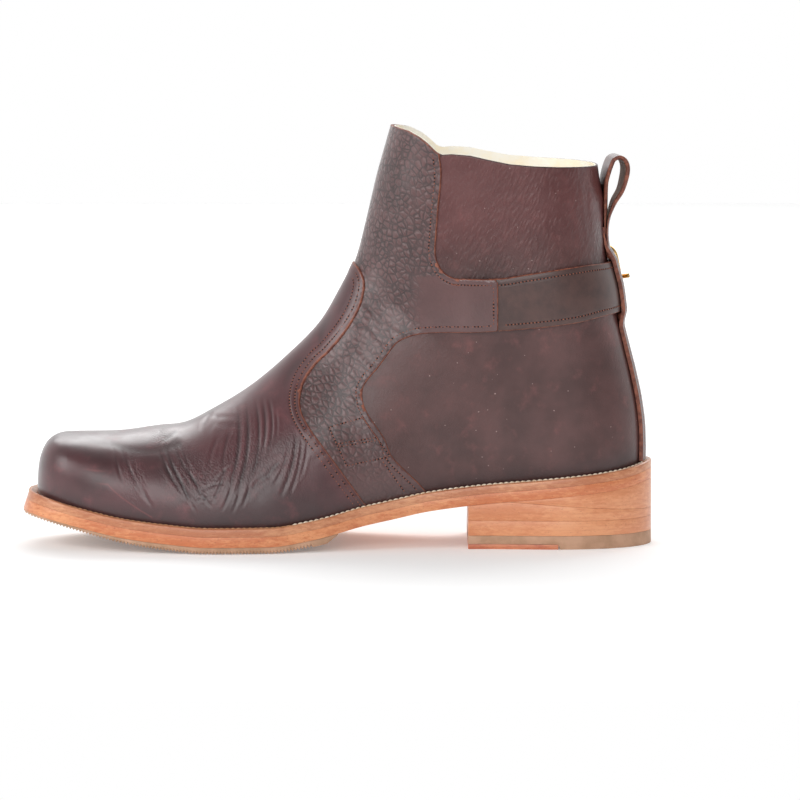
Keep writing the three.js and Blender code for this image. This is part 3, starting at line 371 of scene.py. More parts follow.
# A point of the form from its side view
fine_q = np.concatenate([np.linspace(-1, 0, 24, endpoint=False), np.linspace(0, 1, 400)])
fine_low, fine_top, fine_full = section(fine_q)


def side_of(i, x, z):
    low, top = fine_low[i], fine_top[i]
    return ((top[..., 0] - low[..., 0]) * (z - low[..., 1])
            - (top[..., 1] - low[..., 1]) * (x - low[..., 0]))


def locate(x, z):
    """q and t of side-view points."""
    x, z = np.broadcast_arrays(np.asarray(x, float), np.asarray(z, float))
    low = np.zeros(x.shape, int)
    high = np.full(x.shape, len(fine_q) - 1)
    for _ in range(10):
        middle = (low + high) // 2
        beyond = side_of(middle, x, z) > 0
        low = np.where(beyond, middle, low)
        high = np.where(beyond, high, np.maximum(middle, low + 1))
    before, after = side_of(low, x, z), side_of(high, x, z)
    gap = np.where(np.abs(before - after) > 1e-12, before - after, 1)
    share = np.clip(before / gap, 0, 1)
    a = mix(fine_low[low], fine_low[high], share[..., None])
    b = mix(fine_top[low], fine_top[high], share[..., None])
    d = b - a
    t = ((x - a[..., 0]) * d[..., 0] + (z - a[..., 1]) * d[..., 1]) / (d ** 2).sum(-1)
    return mix(fine_q[low], fine_q[high], share), np.clip(t, 0, 1)


def param(x, z, side):
    """q and r of side-view points on one side."""
    q, t = locate(x, z)
    r = np.arccos(np.clip(2 * t - 1, -1, 1)) / np.pi
    return q, np.where(np.asarray(side) > 0, -r, r)


def on_form(x, z, side, offset):
    q, r = param(x, z, side)
    return form_point(q, r) + form_normal(q, r) * np.asarray(offset)[..., None]


# Meshes
def to_frame(points):
    return (np.asarray(points, float) - np.array([HEEL_REST, 0, 0])) / 1000


def add_mesh(name, points, faces, materials, face_slots=None, attributes=None, smooth=35, slot=None):
    """A piece from points in millimetres; it rides with the boot."""
    mesh = bpy.data.meshes.new(name)
    mesh.from_pydata(to_frame(points).tolist(), [], [list(map(int, f)) for f in faces])
    for material in materials:
        mesh.materials.append(material)
    if face_slots is not None:
        mesh.polygons.foreach_set("material_index", np.asarray(face_slots, np.int32))
    for key, values in (attributes or {}).items():
        layer = mesh.attributes.new(key, "FLOAT", "POINT")
        layer.data.foreach_set("value", np.asarray(values, np.float32))
    mesh.validate(clean_customdata=False)
    mesh.update()
    mesh.shade_smooth()
    if smooth:
        mesh.set_sharp_from_angle(angle=math.radians(smooth))
    piece = bpy.data.objects.new(name, mesh)
    bpy.context.scene.collection.objects.link(piece)
    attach(piece, "root")
    return piece


def grid_faces(rows, columns, close=False):
    i, j = np.meshgrid(np.arange(rows - 1), np.arange(columns if close else columns - 1), indexing="ij")
    n = (j + 1) % columns
    return np.stack([i * columns + j, i * columns + n, (i + 1) * columns + n, (i + 1) * columns + j],
                    -1).reshape(-1, 4)


def clip(values, faces, field, both=False):
    """Cuts a mesh of per-point values along a field's zero line; cut points are blended.
    The part below zero goes, unless both sides are wanted."""
    keep = field >= 0
    inside = keep[faces]
    unmixed = inside.all(1) | (~inside.any(1) & both)
    mixed = faces[inside.any(1) & ~inside.all(1)]
    extra, cuts, out = [], {}, [list(f) for f in faces[unmixed]]

    def cut(a, b):
        key = (min(a, b), max(a, b))
        if key not in cuts:
            share = field[key[0]] / (field[key[0]] - field[key[1]])
            cuts[key] = len(values) + len(extra)
            extra.append(mix(values[key[0]], values[key[1]], share))
        return cuts[key]

    for face in mixed.tolist():
        face = [v for i, v in enumerate(face) if v != face[i - 1]]
        for wanted in (True, False) if both else (True,):
            ring = []
            for a, b in zip(face, face[1:] + face[:1]):
                if keep[a] == wanted:
                    ring.append(a)
                if keep[a] != keep[b]:
                    ring.append(cut(a, b))
            if len(ring) >= 3:
                out.append(ring)
    points = np.vstack([values, extra]) if extra else values
    return points, out


def to_quads(faces):
    """Faces of 3 to 5 corners as rows of 4, with a repeated corner in triangles."""
    rows = []
    for f in faces:
        if len(f) == 4:
            rows.append(f)
        elif len(f) == 3:
            rows.append([f[0], f[1], f[2], f[2]])
        else:
            rows.append(f[:4])
            rows.extend([f[0], f[i], f[i + 1], f[i + 1]] for i in range(3, len(f) - 1))
    return np.array(rows, int)


def compact(values, faces):
    """Drops unused points; faces come back as lists without repeats."""
    faces = [[v for i, v in enumerate(f) if v != f[i - 1]] for f in faces]
    faces = [f for f in faces if len(f) >= 3]
    used = np.unique(np.concatenate([np.array(f) for f in faces]))
    index = np.full(len(values), -1)
    index[used] = np.arange(len(used))
    return values[used], [[int(index[v]) for v in f] for f in faces]


def border(faces):
    """Directed edges that only one face uses."""
    seen = {}
    for f in faces:
        for a, b in zip(f, f[1:] + f[:1]):
            seen[(a, b)] = True
    return [(a, b) for a, b in seen if (b, a) not in seen]


def signed_distance(line, x, z):
    """Distance of side-view points from a line; positive on the line's left."""
    start, end = line[:-1], line[1:]
    d = end - start
    best = np.full(x.shape, 1e9)
    sign = np.ones(x.shape)
    size = (d ** 2).sum(1)
    for k in range(len(start)):
        px, pz = x - start[k, 0], z - start[k, 1]
        t = np.clip((px * d[k, 0] + pz * d[k, 1]) / size[k], 0, 1)
        dist = np.hypot(px - t * d[k, 0], pz - t * d[k, 1])
        side = d[k, 0] * pz - d[k, 1] * px
        closer = dist < best
        best = np.where(closer, dist, best)
        sign = np.where(closer, np.sign(side), sign)
    return best * np.where(sign == 0, 1, sign)


EDGE_STEPS = (0.16, 0.45)


def edge_drop(distance, depth=0.7, width=0.5):
    """How far the leather's face falls away towards a cut edge."""
    share = np.clip(1 - distance / width, 0, 1)
    return depth * (1 - np.sqrt(np.maximum(1 - share ** 2, 0))) + 0.15 * depth * share


def sheet(name, values, faces, fields, top, low, edge, materials, slot, closed=True, extra=None):
    """A piece of leather over a parameter grid, clipped by fields, with a cut edge of its own
    material. top and low give points, edge the distance from the nearest visible cut edge."""
    for field in fields:
        values, faces = clip(values, faces, field(values))
        faces = to_quads(faces)
    for step in EDGE_STEPS if edge else ():
        values, faces = clip(values, faces, edge(values) - step, both=True)
        faces = to_quads(faces)
    values, faces = compact(values, faces.tolist())
    n = len(values)
    distance = edge(values) if edge else np.full(n, 99.0)
    upper_side = top(values)
    rim = border(faces)
    near = distance < EDGE_STEPS[-1] - 0.01
    slots = [1 if any(near[v] for v in f) else 0 for f in faces]
    all_faces = [f[::-1] for f in faces]
    if closed:
        lower_side = low(values)
        all_faces += [[v + n for v in f] for f in faces]
        slots += [1] * len(faces)
        all_faces += [[a, b, b + n, a + n] for a, b in rim]
    else:
        ring = sorted({v for edge_pair in rim for v in edge_pair})
        place = {v: n + k for k, v in enumerate(ring)}
        lower_side = low(values[ring])
        all_faces += [[a, b, place[b], place[a]] for a, b in rim]
    slots += [1] * len(rim)
    attributes = {"rim": np.minimum(distance, 20)}
    attributes.update(extra(values) if extra else {})
    index = np.arange(n) if closed else np.array(ring)
    attributes = {k: np.concatenate([v, v[index]]) for k, v in attributes.items()}
    return add_mesh(name, np.vstack([upper_side, lower_side]), all_faces, materials, slots, attributes,
                    50, slot)


def side_view(values):
    p = form_point(values[:, 0], values[:, 1])
    return p[:, 0], p[:, 2], np.where(values[:, 1] < 0, 1.0, -1.0)


def sheet_on_form(name, q_line, r_line, fields, outside, inside, edge, materials, slot, closed=True,
                  extra=None):
    """A sheet on the form. fields, outside, inside, edge and extra are functions of x, z, side."""
    q, r = np.meshgrid(q_line, r_line, indexing="ij")
    values = np.column_stack([q.ravel(), r.ravel()])

    def raised(offset):
        def points(values):
            x, z, side = side_view(values)
            place = form_point(values[:, 0], values[:, 1])
            return place + form_normal(values[:, 0], values[:, 1]) * offset(x, z, side)[:, None]
        return points

    def seen(function):
        return lambda values: function(*side_view(values))

    return sheet(name, values, grid_faces(len(q_line), len(r_line)), [seen(f) for f in fields],
                 raised(outside), raised(inside), seen(edge) if edge else None, materials, slot,
                 closed, seen(extra) if extra else None)


# Seam lines in side view
vamp_edge = outline(VAMP_EDGE)
panel_low = outline(PANEL_LOW_EDGE)
panel_top = outline(PANEL_TOP_EDGE)
collar_edge = np.asarray(COLLAR_EDGE) * SIDE_SCALE
strap_low_share = column(STRAP_EDGES, 0, 1)
strap_high_share = column(STRAP_EDGES, 0, 2)


def strap_low(x):
    return BOOT_HEIGHT * strap_low_share(np.asarray(x, float) / SOLE_LENGTH)


def strap_high(x):
    return BOOT_HEIGHT * strap_high_share(np.asarray(x, float) / SOLE_LENGTH)


tab_low = np.column_stack([np.linspace(95, STRAP_END, 12), strap_low(np.linspace(95, STRAP_END, 12))])
tab_high = np.column_stack([np.linspace(STRAP_END, 92, 12), strap_high(np.linspace(STRAP_END, 92, 12))])
panel_edge = np.vstack([panel_low[panel_low[:, 0] > 96], tab_low, tab_high,
                        panel_top[panel_top[:, 0] > 94]])


def vamp_field(x, z, side):
    return signed_distance(vamp_edge, x, z)


def panel_field(x, z, side):
    return -signed_distance(panel_edge, x, z)


def feather_field(x, z, side):
    return z - welt_top(x) - 0.1


def collar_field(x, z, side):
    return -signed_distance(collar_edge, x, z)


# Materials: small helpers over the node tree, in millimetres
def rgb(code):
    """A colour written as in a web page, in Blender's linear values."""
    values = [int(code[i:i + 2], 16) / 255 for i in (0, 2, 4)]
    linear = [v / 12.92 if v <= 0.04045 else ((v + 0.055) / 1.055) ** 2.4 for v in values]
    return (*linear, 1.0)


class Surface:
    """One material: a principled shader with helpers that add and join nodes."""

    def __init__(self, name, roughness=0.5, metallic=0.0, coat=0.0, coat_roughness=0.3, specular=0.5):
        self.material = bpy.data.materials.new(name)
        self.material.use_nodes = True
        self.tree = self.material.node_tree
        self.tree.nodes.clear()
        out = self.new("ShaderNodeOutputMaterial")
        self.shader = self.new("ShaderNodeBsdfPrincipled")
        self.tree.links.new(self.shader.outputs[0], out.inputs[0])
        levels = {"Roughness": roughness, "Metallic": metallic, "Coat Weight": coat,
                  "Coat Roughness": coat_roughness, "Specular IOR Level": specular}
        for key, level in levels.items():
            self.shader.inputs[key].default_value = level
        coordinate = self.new("ShaderNodeTexCoord")
        scale = self.new("ShaderNodeVectorMath", operation="SCALE")
        scale.inputs["Scale"].default_value = 1000
        self.join(coordinate.outputs["Object"], scale.inputs[0])
        self.place = scale.outputs[0]

    def new(self, kind, **settings):
        node = self.tree.nodes.new(kind)
        for key, value in settings.items():
            setattr(node, key, value)
        return node

    def join(self, source, socket):
        if hasattr(source, "links") or hasattr(source, "is_output"):
            self.tree.links.new(source, socket)
        else:
            socket.default_value = source

    def stretched(self, factors, source=None):
        node = self.new("ShaderNodeVectorMath", operation="MULTIPLY")
        self.join(source or self.place, node.inputs[0])
        node.inputs[1].default_value = factors
        return node.outputs[0]

    def noise(self, size, detail=3, rough=0.55, at=None):
        node = self.new("ShaderNodeTexNoise")
        self.join(at or self.place, node.inputs["Vector"])
        node.inputs["Scale"].default_value = 1 / size
        node.inputs["Detail"].default_value = detail
        node.inputs["Roughness"].default_value = rough
        return node.outputs["Fac"]

    def bent(self, size, amount, at=None):
        """The place, pushed about by a noise, so that cells and lines lose their regularity."""
        node = self.new("ShaderNodeTexNoise")
        self.join(at or self.place, node.inputs["Vector"])
        node.inputs["Scale"].default_value = 1 / size
        node.inputs["Detail"].default_value = 2
        shift = self.new("ShaderNodeVectorMath", operation="SUBTRACT")
        self.join(node.outputs["Color"], shift.inputs[0])
        shift.inputs[1].default_value = (0.5, 0.5, 0.5)
        grow = self.new("ShaderNodeVectorMath", operation="SCALE")
        self.join(shift.outputs[0], grow.inputs[0])
        grow.inputs["Scale"].default_value = amount
        total = self.new("ShaderNodeVectorMath", operation="ADD")
        self.join(at or self.place, total.inputs[0])
        self.join(grow.outputs[0], total.inputs[1])
        return total.outputs[0]

    def cells(self, size, feature="DISTANCE_TO_EDGE", at=None):
        node = self.new("ShaderNodeTexVoronoi", feature=feature)
        self.join(at or self.place, node.inputs["Vector"])
        node.inputs["Scale"].default_value = 1 / size
        return node.outputs["Distance"]

    def math(self, operation, a, b):
        node = self.new("ShaderNodeMath", operation=operation)
        self.join(a, node.inputs[0])
        self.join(b, node.inputs[1])
        return node.outputs[0]

    def times(self, a, b):
        return self.math("MULTIPLY", a, b)

    def plus(self, a, b):
        return self.math("ADD", a, b)

    def ranged(self, value, low, high, to_low=0.0, to_high=1.0):
        node = self.new("ShaderNodeMapRange", interpolation_type="SMOOTHSTEP")
        self.join(value, node.inputs["Value"])
        limits = {"From Min": low, "From Max": high, "To Min": to_low, "To Max": to_high}
        for key, limit in limits.items():
            node.inputs[key].default_value = limit
        return node.outputs["Result"]

    def blend(self, share, a, b):
        node = self.new("ShaderNodeMix", data_type="RGBA")
        self.join(share, node.inputs[0])
        self.join(a, node.inputs[6])
        self.join(b, node.inputs[7])
        return node.outputs[2]

    def attribute(self, name):
        return self.new("ShaderNodeAttribute", attribute_name=name).outputs["Fac"]

    def bump(self, height, distance, strength=1.0, under=None):
        node = self.new("ShaderNodeBump")
        node.inputs["Distance"].default_value = distance / 1000
        node.inputs["Strength"].default_value = strength
        self.join(height, node.inputs["Height"])
        if under is not None:
            self.join(under, node.inputs["Normal"])
        return node.outputs[0]

    def turned(self, angle, at=None):
        """The coordinates turned about the boot's cross axis."""
        node = self.new("ShaderNodeVectorRotate", rotation_type="Y_AXIS")
        self.join(at or self.place, node.inputs["Vector"])
        node.inputs["Angle"].default_value = math.radians(angle)
        return node.outputs[0]

    def finish(self, color=None, roughness=None, normal=None):
        for value, key in ((color, "Base Color"), (roughness, "Roughness"), (normal, "Normal")):
            if value is not None:
                self.join(value, self.shader.inputs[key])
        return self.material


def leather(name, dark, light, red, cloud_size, pores, pore_depth, coat=0.3):
    """Waxed leather: cloudy oxblood that reddens where it is stretched, with fine grain."""
    s = Surface(name, coat=coat, coat_roughness=0.3)
    cloud = s.noise(cloud_size, 3, 0.6)
    patch = s.noise(cloud_size / 3.5, 4, 0.6)
    base = s.blend(s.ranged(cloud, 0.34, 0.66), rgb(dark), rgb(light))
    color = s.blend(s.ranged(patch, 0.52, 0.82, 0, 0.6), base, rgb(red))
    pore = s.cells(pores, "F1", s.bent(3, 0.9))
    height = s.plus(s.times(pore, 0.7), s.noise(0.45, 2, 0.6))
    bump = s.bump(height, pore_depth, 0.6)
    return s, color, s.ranged(patch, 0.3, 0.7, 0.34, 0.48), bump


def vamp_leather():
    s, color, rough, bump = leather("vamp_leather", "3a1d20", "4f272b", "743c40", 36, 0.8, 0.05, coat=0.6)
    mask = s.attribute("crinkle")
    lines = s.cells(1.5, "DISTANCE_TO_EDGE", s.bent(3, 1.6, s.stretched((1, 1, 0.5), s.turned(-22))))
    fine = s.cells(1.3, "SMOOTH_F1", s.bent(2, 1.2))
    crinkle = s.plus(s.ranged(lines, 0, 0.25), s.times(fine, -0.5))
    bump = s.bump(s.times(crinkle, mask), 0.2, 1.0, bump)
    # Painted shade: the fine crinkle lines are darkened where the crinkle mask lies.
    color = s.blend(s.times(s.ranged(lines, 0, 0.14, 0.35, 0), mask), color, rgb("1f0e10"))
    relief = s.attribute("relief")
    # Painted shade in the creases' troughs and painted highlight on their raised shoulders, both taken
    # from the crease relief.
    color = s.blend(s.ranged(relief, -0.3, -0.03, 0.6, 0), color, rgb("1d0d0f"))
    color = s.blend(s.ranged(relief, 0.04, 0.3, 0, 0.3), color, rgb("7d4a4d"))
    # Dark red along the toe's ridge: reddening of the leather stretched over the toe, and painted shade
    # in the shallow trough there.
    color = s.blend(s.ranged(s.attribute("ridge"), 0.1, 0.9, 0, 0.85), color, rgb("2e0508"))
    color = s.blend(s.ranged(s.attribute("rim"), 1.5, 7, 0.4, 0), color, rgb("57302c"))
    color = s.blend(s.ranged(s.attribute("rim"), 0.6, 0.95, 0.85, 0), color, rgb("7d4636"))
    # Painted shade low on the vamp: darker within 9 mm of the welt.
    color = s.blend(s.ranged(s.attribute("height"), 0, 9, 0.6, 0), color, rgb("240d10"))
    color = s.blend(s.attribute("scratch"), color, rgb("7c3f40"))
    return s.finish(color, rough, bump)


def panel_leather():
    s = Surface("panel_leather", coat=0.75, coat_roughness=0.3)
    flow = s.stretched((1, 1, 0.75), s.turned(-38))
    warped = s.bent(5, 1.6, flow)
    raw = s.cells(2.7, "SMOOTH_F1", warped)
    seam = s.cells(2.7, "DISTANCE_TO_EDGE", warped)
    small = s.ranged(s.cells(1.2, "SMOOTH_F1", s.bent(2, 1.0, flow)), 0.1, 0.7, 1, 0)
    depth = s.ranged(s.attribute("smooth"), 0, 0.8, 1, 0.08)
    depth = s.times(depth, s.ranged(s.attribute("height"), 6, 42, 0.3, 1))
    pebbles = s.plus(s.times(s.ranged(seam, 0, 0.34), 0.75), s.times(small, 0.22))
    pebbles = s.plus(pebbles, s.times(s.ranged(raw, 0.1, 0.6, 1, 0), 0.3))
    strength = s.times(depth, s.ranged(s.noise(12, 2), 0.3, 0.62, 0.55, 1))
    height = s.times(pebbles, strength)
    cloud = s.blend(s.noise(18, 3), rgb("422727"), rgb("653f3e"))
    # Painted shade: the cracks between the pebbles are darkened; the same mask also makes them rougher.
    crack = s.times(s.ranged(seam, 0, 0.2, 0.75, 0), strength)
    color = s.blend(crack, cloud, rgb("170b0b"))
    # Painted shade low on the panel: darker within 12 mm of the welt.
    color = s.blend(s.ranged(s.attribute("height"), 0, 12, 0.5, 0), color, rgb("2a1213"))
    color = s.blend(s.ranged(s.attribute("rim"), 0.35, 0.6, 0.8, 0), color, rgb("7d4636"))
    fine = s.bump(s.noise(0.4, 2), 0.05, 0.5)
    return s.finish(color, s.ranged(crack, 0, 0.8, 0.34, 0.6), s.bump(height, 0.48, 1.0, fine))


def quarter_leather():
    s, color, rough, bump = leather("quarter_leather", "40211f", "553331", "744341", 30, 1.1, 0.12)
    streaks = s.bent(1.8, 1.0, s.stretched((1.0, 0.8, 0.34), s.turned(22)))
    grain = s.ranged(s.cells(1.35, "SMOOTH_F1", streaks), 0.1, 0.6, 1, 0)
    upper = s.ranged(s.attribute("height"), 55, 110, 0.12, 1)
    patchy = s.times(upper, s.ranged(s.noise(24, 2), 0.3, 0.6, 0.45, 1))
    bump = s.bump(s.times(grain, patchy), 0.2, 1.0, bump)
    # Painted shade: darker between the grain's pebbles where the grain shows.
    color = s.blend(s.times(s.ranged(grain, 0.1, 0.6, 0.28, 0), patchy), color, rgb("1f0d0d"))
    color = s.blend(s.ranged(s.attribute("height"), 95, 130, 0, 0.4), color, rgb("6b2f30"))
    speck = s.ranged(s.cells(5.5, "F1", s.bent(9, 5)), 0.04, 0.07, 0.5, 0)
    color = s.blend(speck, color, rgb("b59a94"))
    # Painted shade low on the quarters: darker within 12 mm of the welt.
    color = s.blend(s.ranged(s.attribute("height"), 0, 12, 0.6, 0), color, rgb("240f11"))
    return s.finish(color, rough, bump)


def plain(name, dark, light, size, roughness, distance=0.1, strength=0.4, flow=(1, 1, 1), **settings):
    s = Surface(name, roughness=roughness, **settings)
    cloud = s.ranged(s.noise(size, 4, 0.6, at=s.stretched(flow)), 0.32, 0.68)
    color = s.blend(cloud, rgb(dark), rgb(light))
    return s.finish(color, None, s.bump(s.noise(0.5, 3, at=s.stretched(flow)), distance, strength))


def edge_leather(name, dark, light, specks, roughness=0.42, layers=0.0, coat=0.3):
    """Trimmed and waxed edge of sole leather: fibres along it, small dark specks, faint layers."""
    s = Surface(name, roughness=roughness, coat=coat, coat_roughness=0.25)
    fibres = s.noise(1.3, 5, 0.65, at=s.stretched((0.3, 0.3, 1)))
    broad = s.noise(22, 2, at=s.stretched((0.5, 0.5, 1)))
    mixed = s.plus(s.times(fibres, 0.5), s.times(broad, 0.5))
    color = s.blend(s.ranged(mixed, 0.38, 0.62), rgb(dark), rgb(light))
    spot = s.ranged(s.noise(0.8, 3, 0.75, at=s.stretched((0.6, 0.6, 1))), 0.56, 0.74, 0, specks)
    color = s.blend(spot, color, rgb("8a4526"))
    if layers:
        band = s.noise(1.6, 2, at=s.stretched((0.02, 0.02, 1)))
        color = s.blend(s.ranged(band, 0.5, 0.62, 0, layers), color, rgb("a8623c"))
    return s.finish(color, None, s.bump(s.plus(fibres, s.noise(0.5, 2)), 0.12, 0.5))


vamp_material = vamp_leather()
panel_material = panel_leather()
quarter_material = quarter_leather()
edge_material = plain("cut_edge", "5e2f24", "935742", 2.4, 0.6)
dark_edge_material = plain("folded_edge", "2c1515", "482524", 5, 0.45)
lining_material = plain("lining", "fff4da", "fffdf6", 14, 0.7)
strap_material = plain("strap_leather", "3f2a27", "4f3530", 9, 0.42, 0.1, coat=0.25)
strip_material = plain("strip_leather", "432422", "58312f", 9, 0.36, coat=0.4)
flesh_material = plain("loop_inside", "5f4034", "7d6250", 4, 0.75)
sole_edge_material = edge_leather("sole_leather", "c26f44", "dd9768", 0.6)
welt_material = edge_leather("welt_leather", "b06c48", "cf936b", 0.5)
rubber_material = plain("rubber", "a58064", "bd957a", 10, 0.62, 0.15, 0.5)
stack_material = edge_leather("stack_leather", "cb8056", "dd9a6e", 0.4, layers=0.12)
insert_material = edge_leather("insert_leather", "ae5c3e", "c97d58", 0.3)
brass_material = plain("brass", "c79a55", "e2bd80", 10, 0.25, metallic=1.0)
thread_material = plain("thread", "6e3426", "9a5a42", 1.4, 0.6)
# Painted shade: the near-black colour of the discs that stand for stitch holes.
hole_shade_material = plain("stitch_hole_shade", "120606", "1e0c0c", 3, 0.8)
welt_thread_material = plain("welt_thread", "cdb597", "eadfcc", 2, 0.7)
welt_seam_material = plain("welt_seam", "a8784f", "c79b74", 2, 0.7)


# Creases, each a soft trough with raised shoulders: start and end in side view, how far the
# middle bows towards the toe, width and depth, all in millimetres
VAMP_CREASES = (
    (260, 47, 254, 31, 0.5, 0.8, 0.22), (256, 46.5, 242, 23, 0.5, 0.9, 0.3),
    (251.5, 45.5, 240, 21, 0.8, 0.8, 0.26), (248, 40, 243, 30, 0, 0.7, 0.18),
    (238, 46.5, 223, 25, 1.2, 1.0, 0.42), (234.5, 47, 220, 24, 1.4, 1.0, 0.45),
    (230.5, 48, 215, 29, 1.2, 0.9, 0.4), (227, 48, 218, 34, 1, 0.9, 0.32),
    (224, 40, 212, 22, 1, 0.8, 0.3), (229, 38, 219, 19, 0.6, 0.7, 0.24),
    (216, 34, 208, 44, 1, 0.8, 0.22), (212, 31, 203, 41, 1, 0.8, 0.22),
    (218, 29, 206, 33, 1, 0.7, 0.18), (221, 24, 208, 27, 1, 0.7, 0.16),
    (209, 54, 214, 39, 0.8, 0.9, 0.22), (203, 58, 207, 38, 1.2, 0.9, 0.26),
    (200, 66, 205, 30, -2.6, 1.0, 0.42), (196, 68, 201, 28, -3, 1.0, 0.45),
    (191.5, 70, 194, 34, -3, 0.9, 0.42), (188, 71, 191, 40, -2.6, 0.9, 0.38),
    (185, 71, 187, 44, -2.6, 0.8, 0.34), (182, 66, 184, 48, -1.6, 0.8, 0.26),
    (206, 40, 212, 24, -0.6, 0.8, 0.3), (202, 36, 208, 20, -0.8, 0.8, 0.28),
    (198, 34, 203, 19, -0.6, 0.8, 0.22), (194, 36, 198, 22, -0.6, 0.7, 0.2),
    (172, 57, 180, 27, -2, 1.0, 0.34), (169.5, 54, 175.5, 28, -1.4, 0.9, 0.3),
    (167, 52, 171.5, 34, -1, 0.8, 0.26), (175.5, 52, 183, 32, -1.2, 0.8, 0.22),
    (186, 35, 177, 44, 1.5, 1.6, 0.3), (196, 25, 184, 37, 2, 1.4, 0.26),
    (214, 61, 199, 62, 0, 0.8, 0.12), (211, 58, 196, 58, 0, 0.8, 0.12),
    (237, 50.5, 229, 55, -1, 0.9, 0.25), (240, 52, 233, 56, 1, 0.9, 0.22),
    (234, 52, 227, 52.5, 1, 0.8, 0.18), (218, 55, 212, 63, 0.5, 0.9, 0.2),
    (214, 54, 209, 61, 0.5, 0.9, 0.18), (160, 92, 152, 112, 3, 2.4, 0.3),
    (178, 74, 164, 92, 3, 2.4, 0.25),
)
LATERAL_CREASES = (
    (252, 46, 244, 24, 0.6, 0.9, 0.28), (247, 45, 238, 22, 0.6, 0.8, 0.24),
    (238, 48, 226, 24, 1.2, 1.0, 0.4), (233, 49, 221, 22, 1.2, 1.0, 0.42),
    (228, 50, 216, 26, 1.2, 0.9, 0.36), (222, 47, 212, 30, 1, 0.9, 0.3),
    (214, 52, 208, 28, 1, 0.9, 0.3), (207, 60, 206, 30, -1.5, 1.0, 0.36),
    (202, 64, 201, 26, -2, 1.0, 0.4), (197, 67, 196, 30, -2.2, 0.9, 0.38),
    (192, 69, 191, 36, -2, 0.9, 0.34), (187, 70, 186, 42, -1.6, 0.8, 0.28),
    (176, 58, 182, 28, -1.6, 1.0, 0.3), (171, 54, 176, 30, -1.2, 0.9, 0.26),
    (209, 36, 201, 22, 1, 0.8, 0.22), (196, 32, 186, 24, 1, 0.8, 0.2),
)
SHAFT_CREASES = (
    (33, 178, 31, 150, 0.8, 1.3, 0.3), (36, 175, 33.5, 146, 0.8, 1.2, 0.3),
    (39.5, 172, 36.5, 144, 1, 1.3, 0.25), (44, 176, 39, 150, 1, 1.4, 0.2),
    (52, 170, 45, 146, 1, 1.5, 0.16), (60, 166, 54, 144, 1, 1.5, 0.14),
)
PANEL_CREASES = (
    (144, 112, 124, 92, 2, 1.6, 0.2), (140, 120, 118, 100, 2, 1.6, 0.18),
    (147, 100, 128, 80, 2, 1.5, 0.22), (149, 90, 133, 72, 1, 1.5, 0.22),
    (146, 76, 134, 66, 1, 1.4, 0.3), (150, 70, 138, 64, -1, 1.4, 0.28),
    (118, 140, 108, 124, 2, 1.6, 0.14), (130, 60, 140, 70, 2, 1.3, 0.2),
)


CREASE_DEPTH = 0.78


def creases(rows, x, z):
    """Height of a set of creases over side-view points."""
    height = np.zeros(x.shape)
    share = np.linspace(0, 1, 9)
    for x0, z0, x1, z1, bow, width, depth in rows:
        way = np.array([x1 - x0, z1 - z0])
        size = np.hypot(*way)
        across = np.array([abs(way[1]), -way[0] * np.sign(way[1] or 1)]) / size
        line = (np.array([x0, z0]) + share[:, None] * way
                + (4 * share * (1 - share) * bow)[:, None] * across)
        reach = 4 * width
        box = ((x > line[:, 0].min() - reach) & (x < line[:, 0].max() + reach)
               & (z > line[:, 1].min() - reach) & (z < line[:, 1].max() + reach))
        if not box.any():
            continue
        px, pz = x[box], z[box]
        best, at = np.full(px.shape, 1e9), np.zeros(px.shape)
        for k in range(8):
            a, d = line[k], line[k + 1] - line[k]
            t = np.clip(((px - a[0]) * d[0] + (pz - a[1]) * d[1]) / (d @ d), 0, 1)
            gap = np.hypot(px - a[0] - t * d[0], pz - a[1] - t * d[1])
            closer = gap < best
            best, at = np.where(closer, gap, best), np.where(closer, (k + t) / 8, at)
        fade = np.clip(4 * at * (1 - at), 0, 1) ** 0.6
        profile = 0.45 * np.exp(-((best - 1.7 * width) / width) ** 2) - np.exp(-(best / width) ** 2)
        height[box] += depth * fade * profile
    return height


def row_groove(lines, x, z, depth=0.16, width=0.45):
    """The trough that a row of stitches pulls into the leather."""
    near = np.full(x.shape, 9.0)
    for line in lines:
        box = ((x > line[:, 0].min() - 2) & (x < line[:, 0].max() + 2)
               & (z > line[:, 1].min() - 2) & (z < line[:, 1].max() + 2))
        near[box] = np.minimum(near[box], np.abs(signed_distance(line, x[box], z[box])))
    return -depth * np.exp(-(near / width) ** 2)


def inset_line(line, distance, first=0.0, last=1.0):
    """A line beside another one, to its left."""
    line = resample(line, 0.8)
    tangent = np.gradient(line, axis=0)
    tangent /= np.linalg.norm(tangent, axis=1, keepdims=True)
    moved = line + distance * np.column_stack([-tangent[:, 1], tangent[:, 0]])
    count = len(moved)
    return moved[int(first * count):max(int(last * count), 2)]


def above_welt(line, margin):
    """The part of a line on the side view that lies above the welt and short of the front line."""
    q, t = locate(line[:, 0], line[:, 1])
    return line[(line[:, 1] > welt_top(line[:, 0]) + margin) & (t < 0.985)]


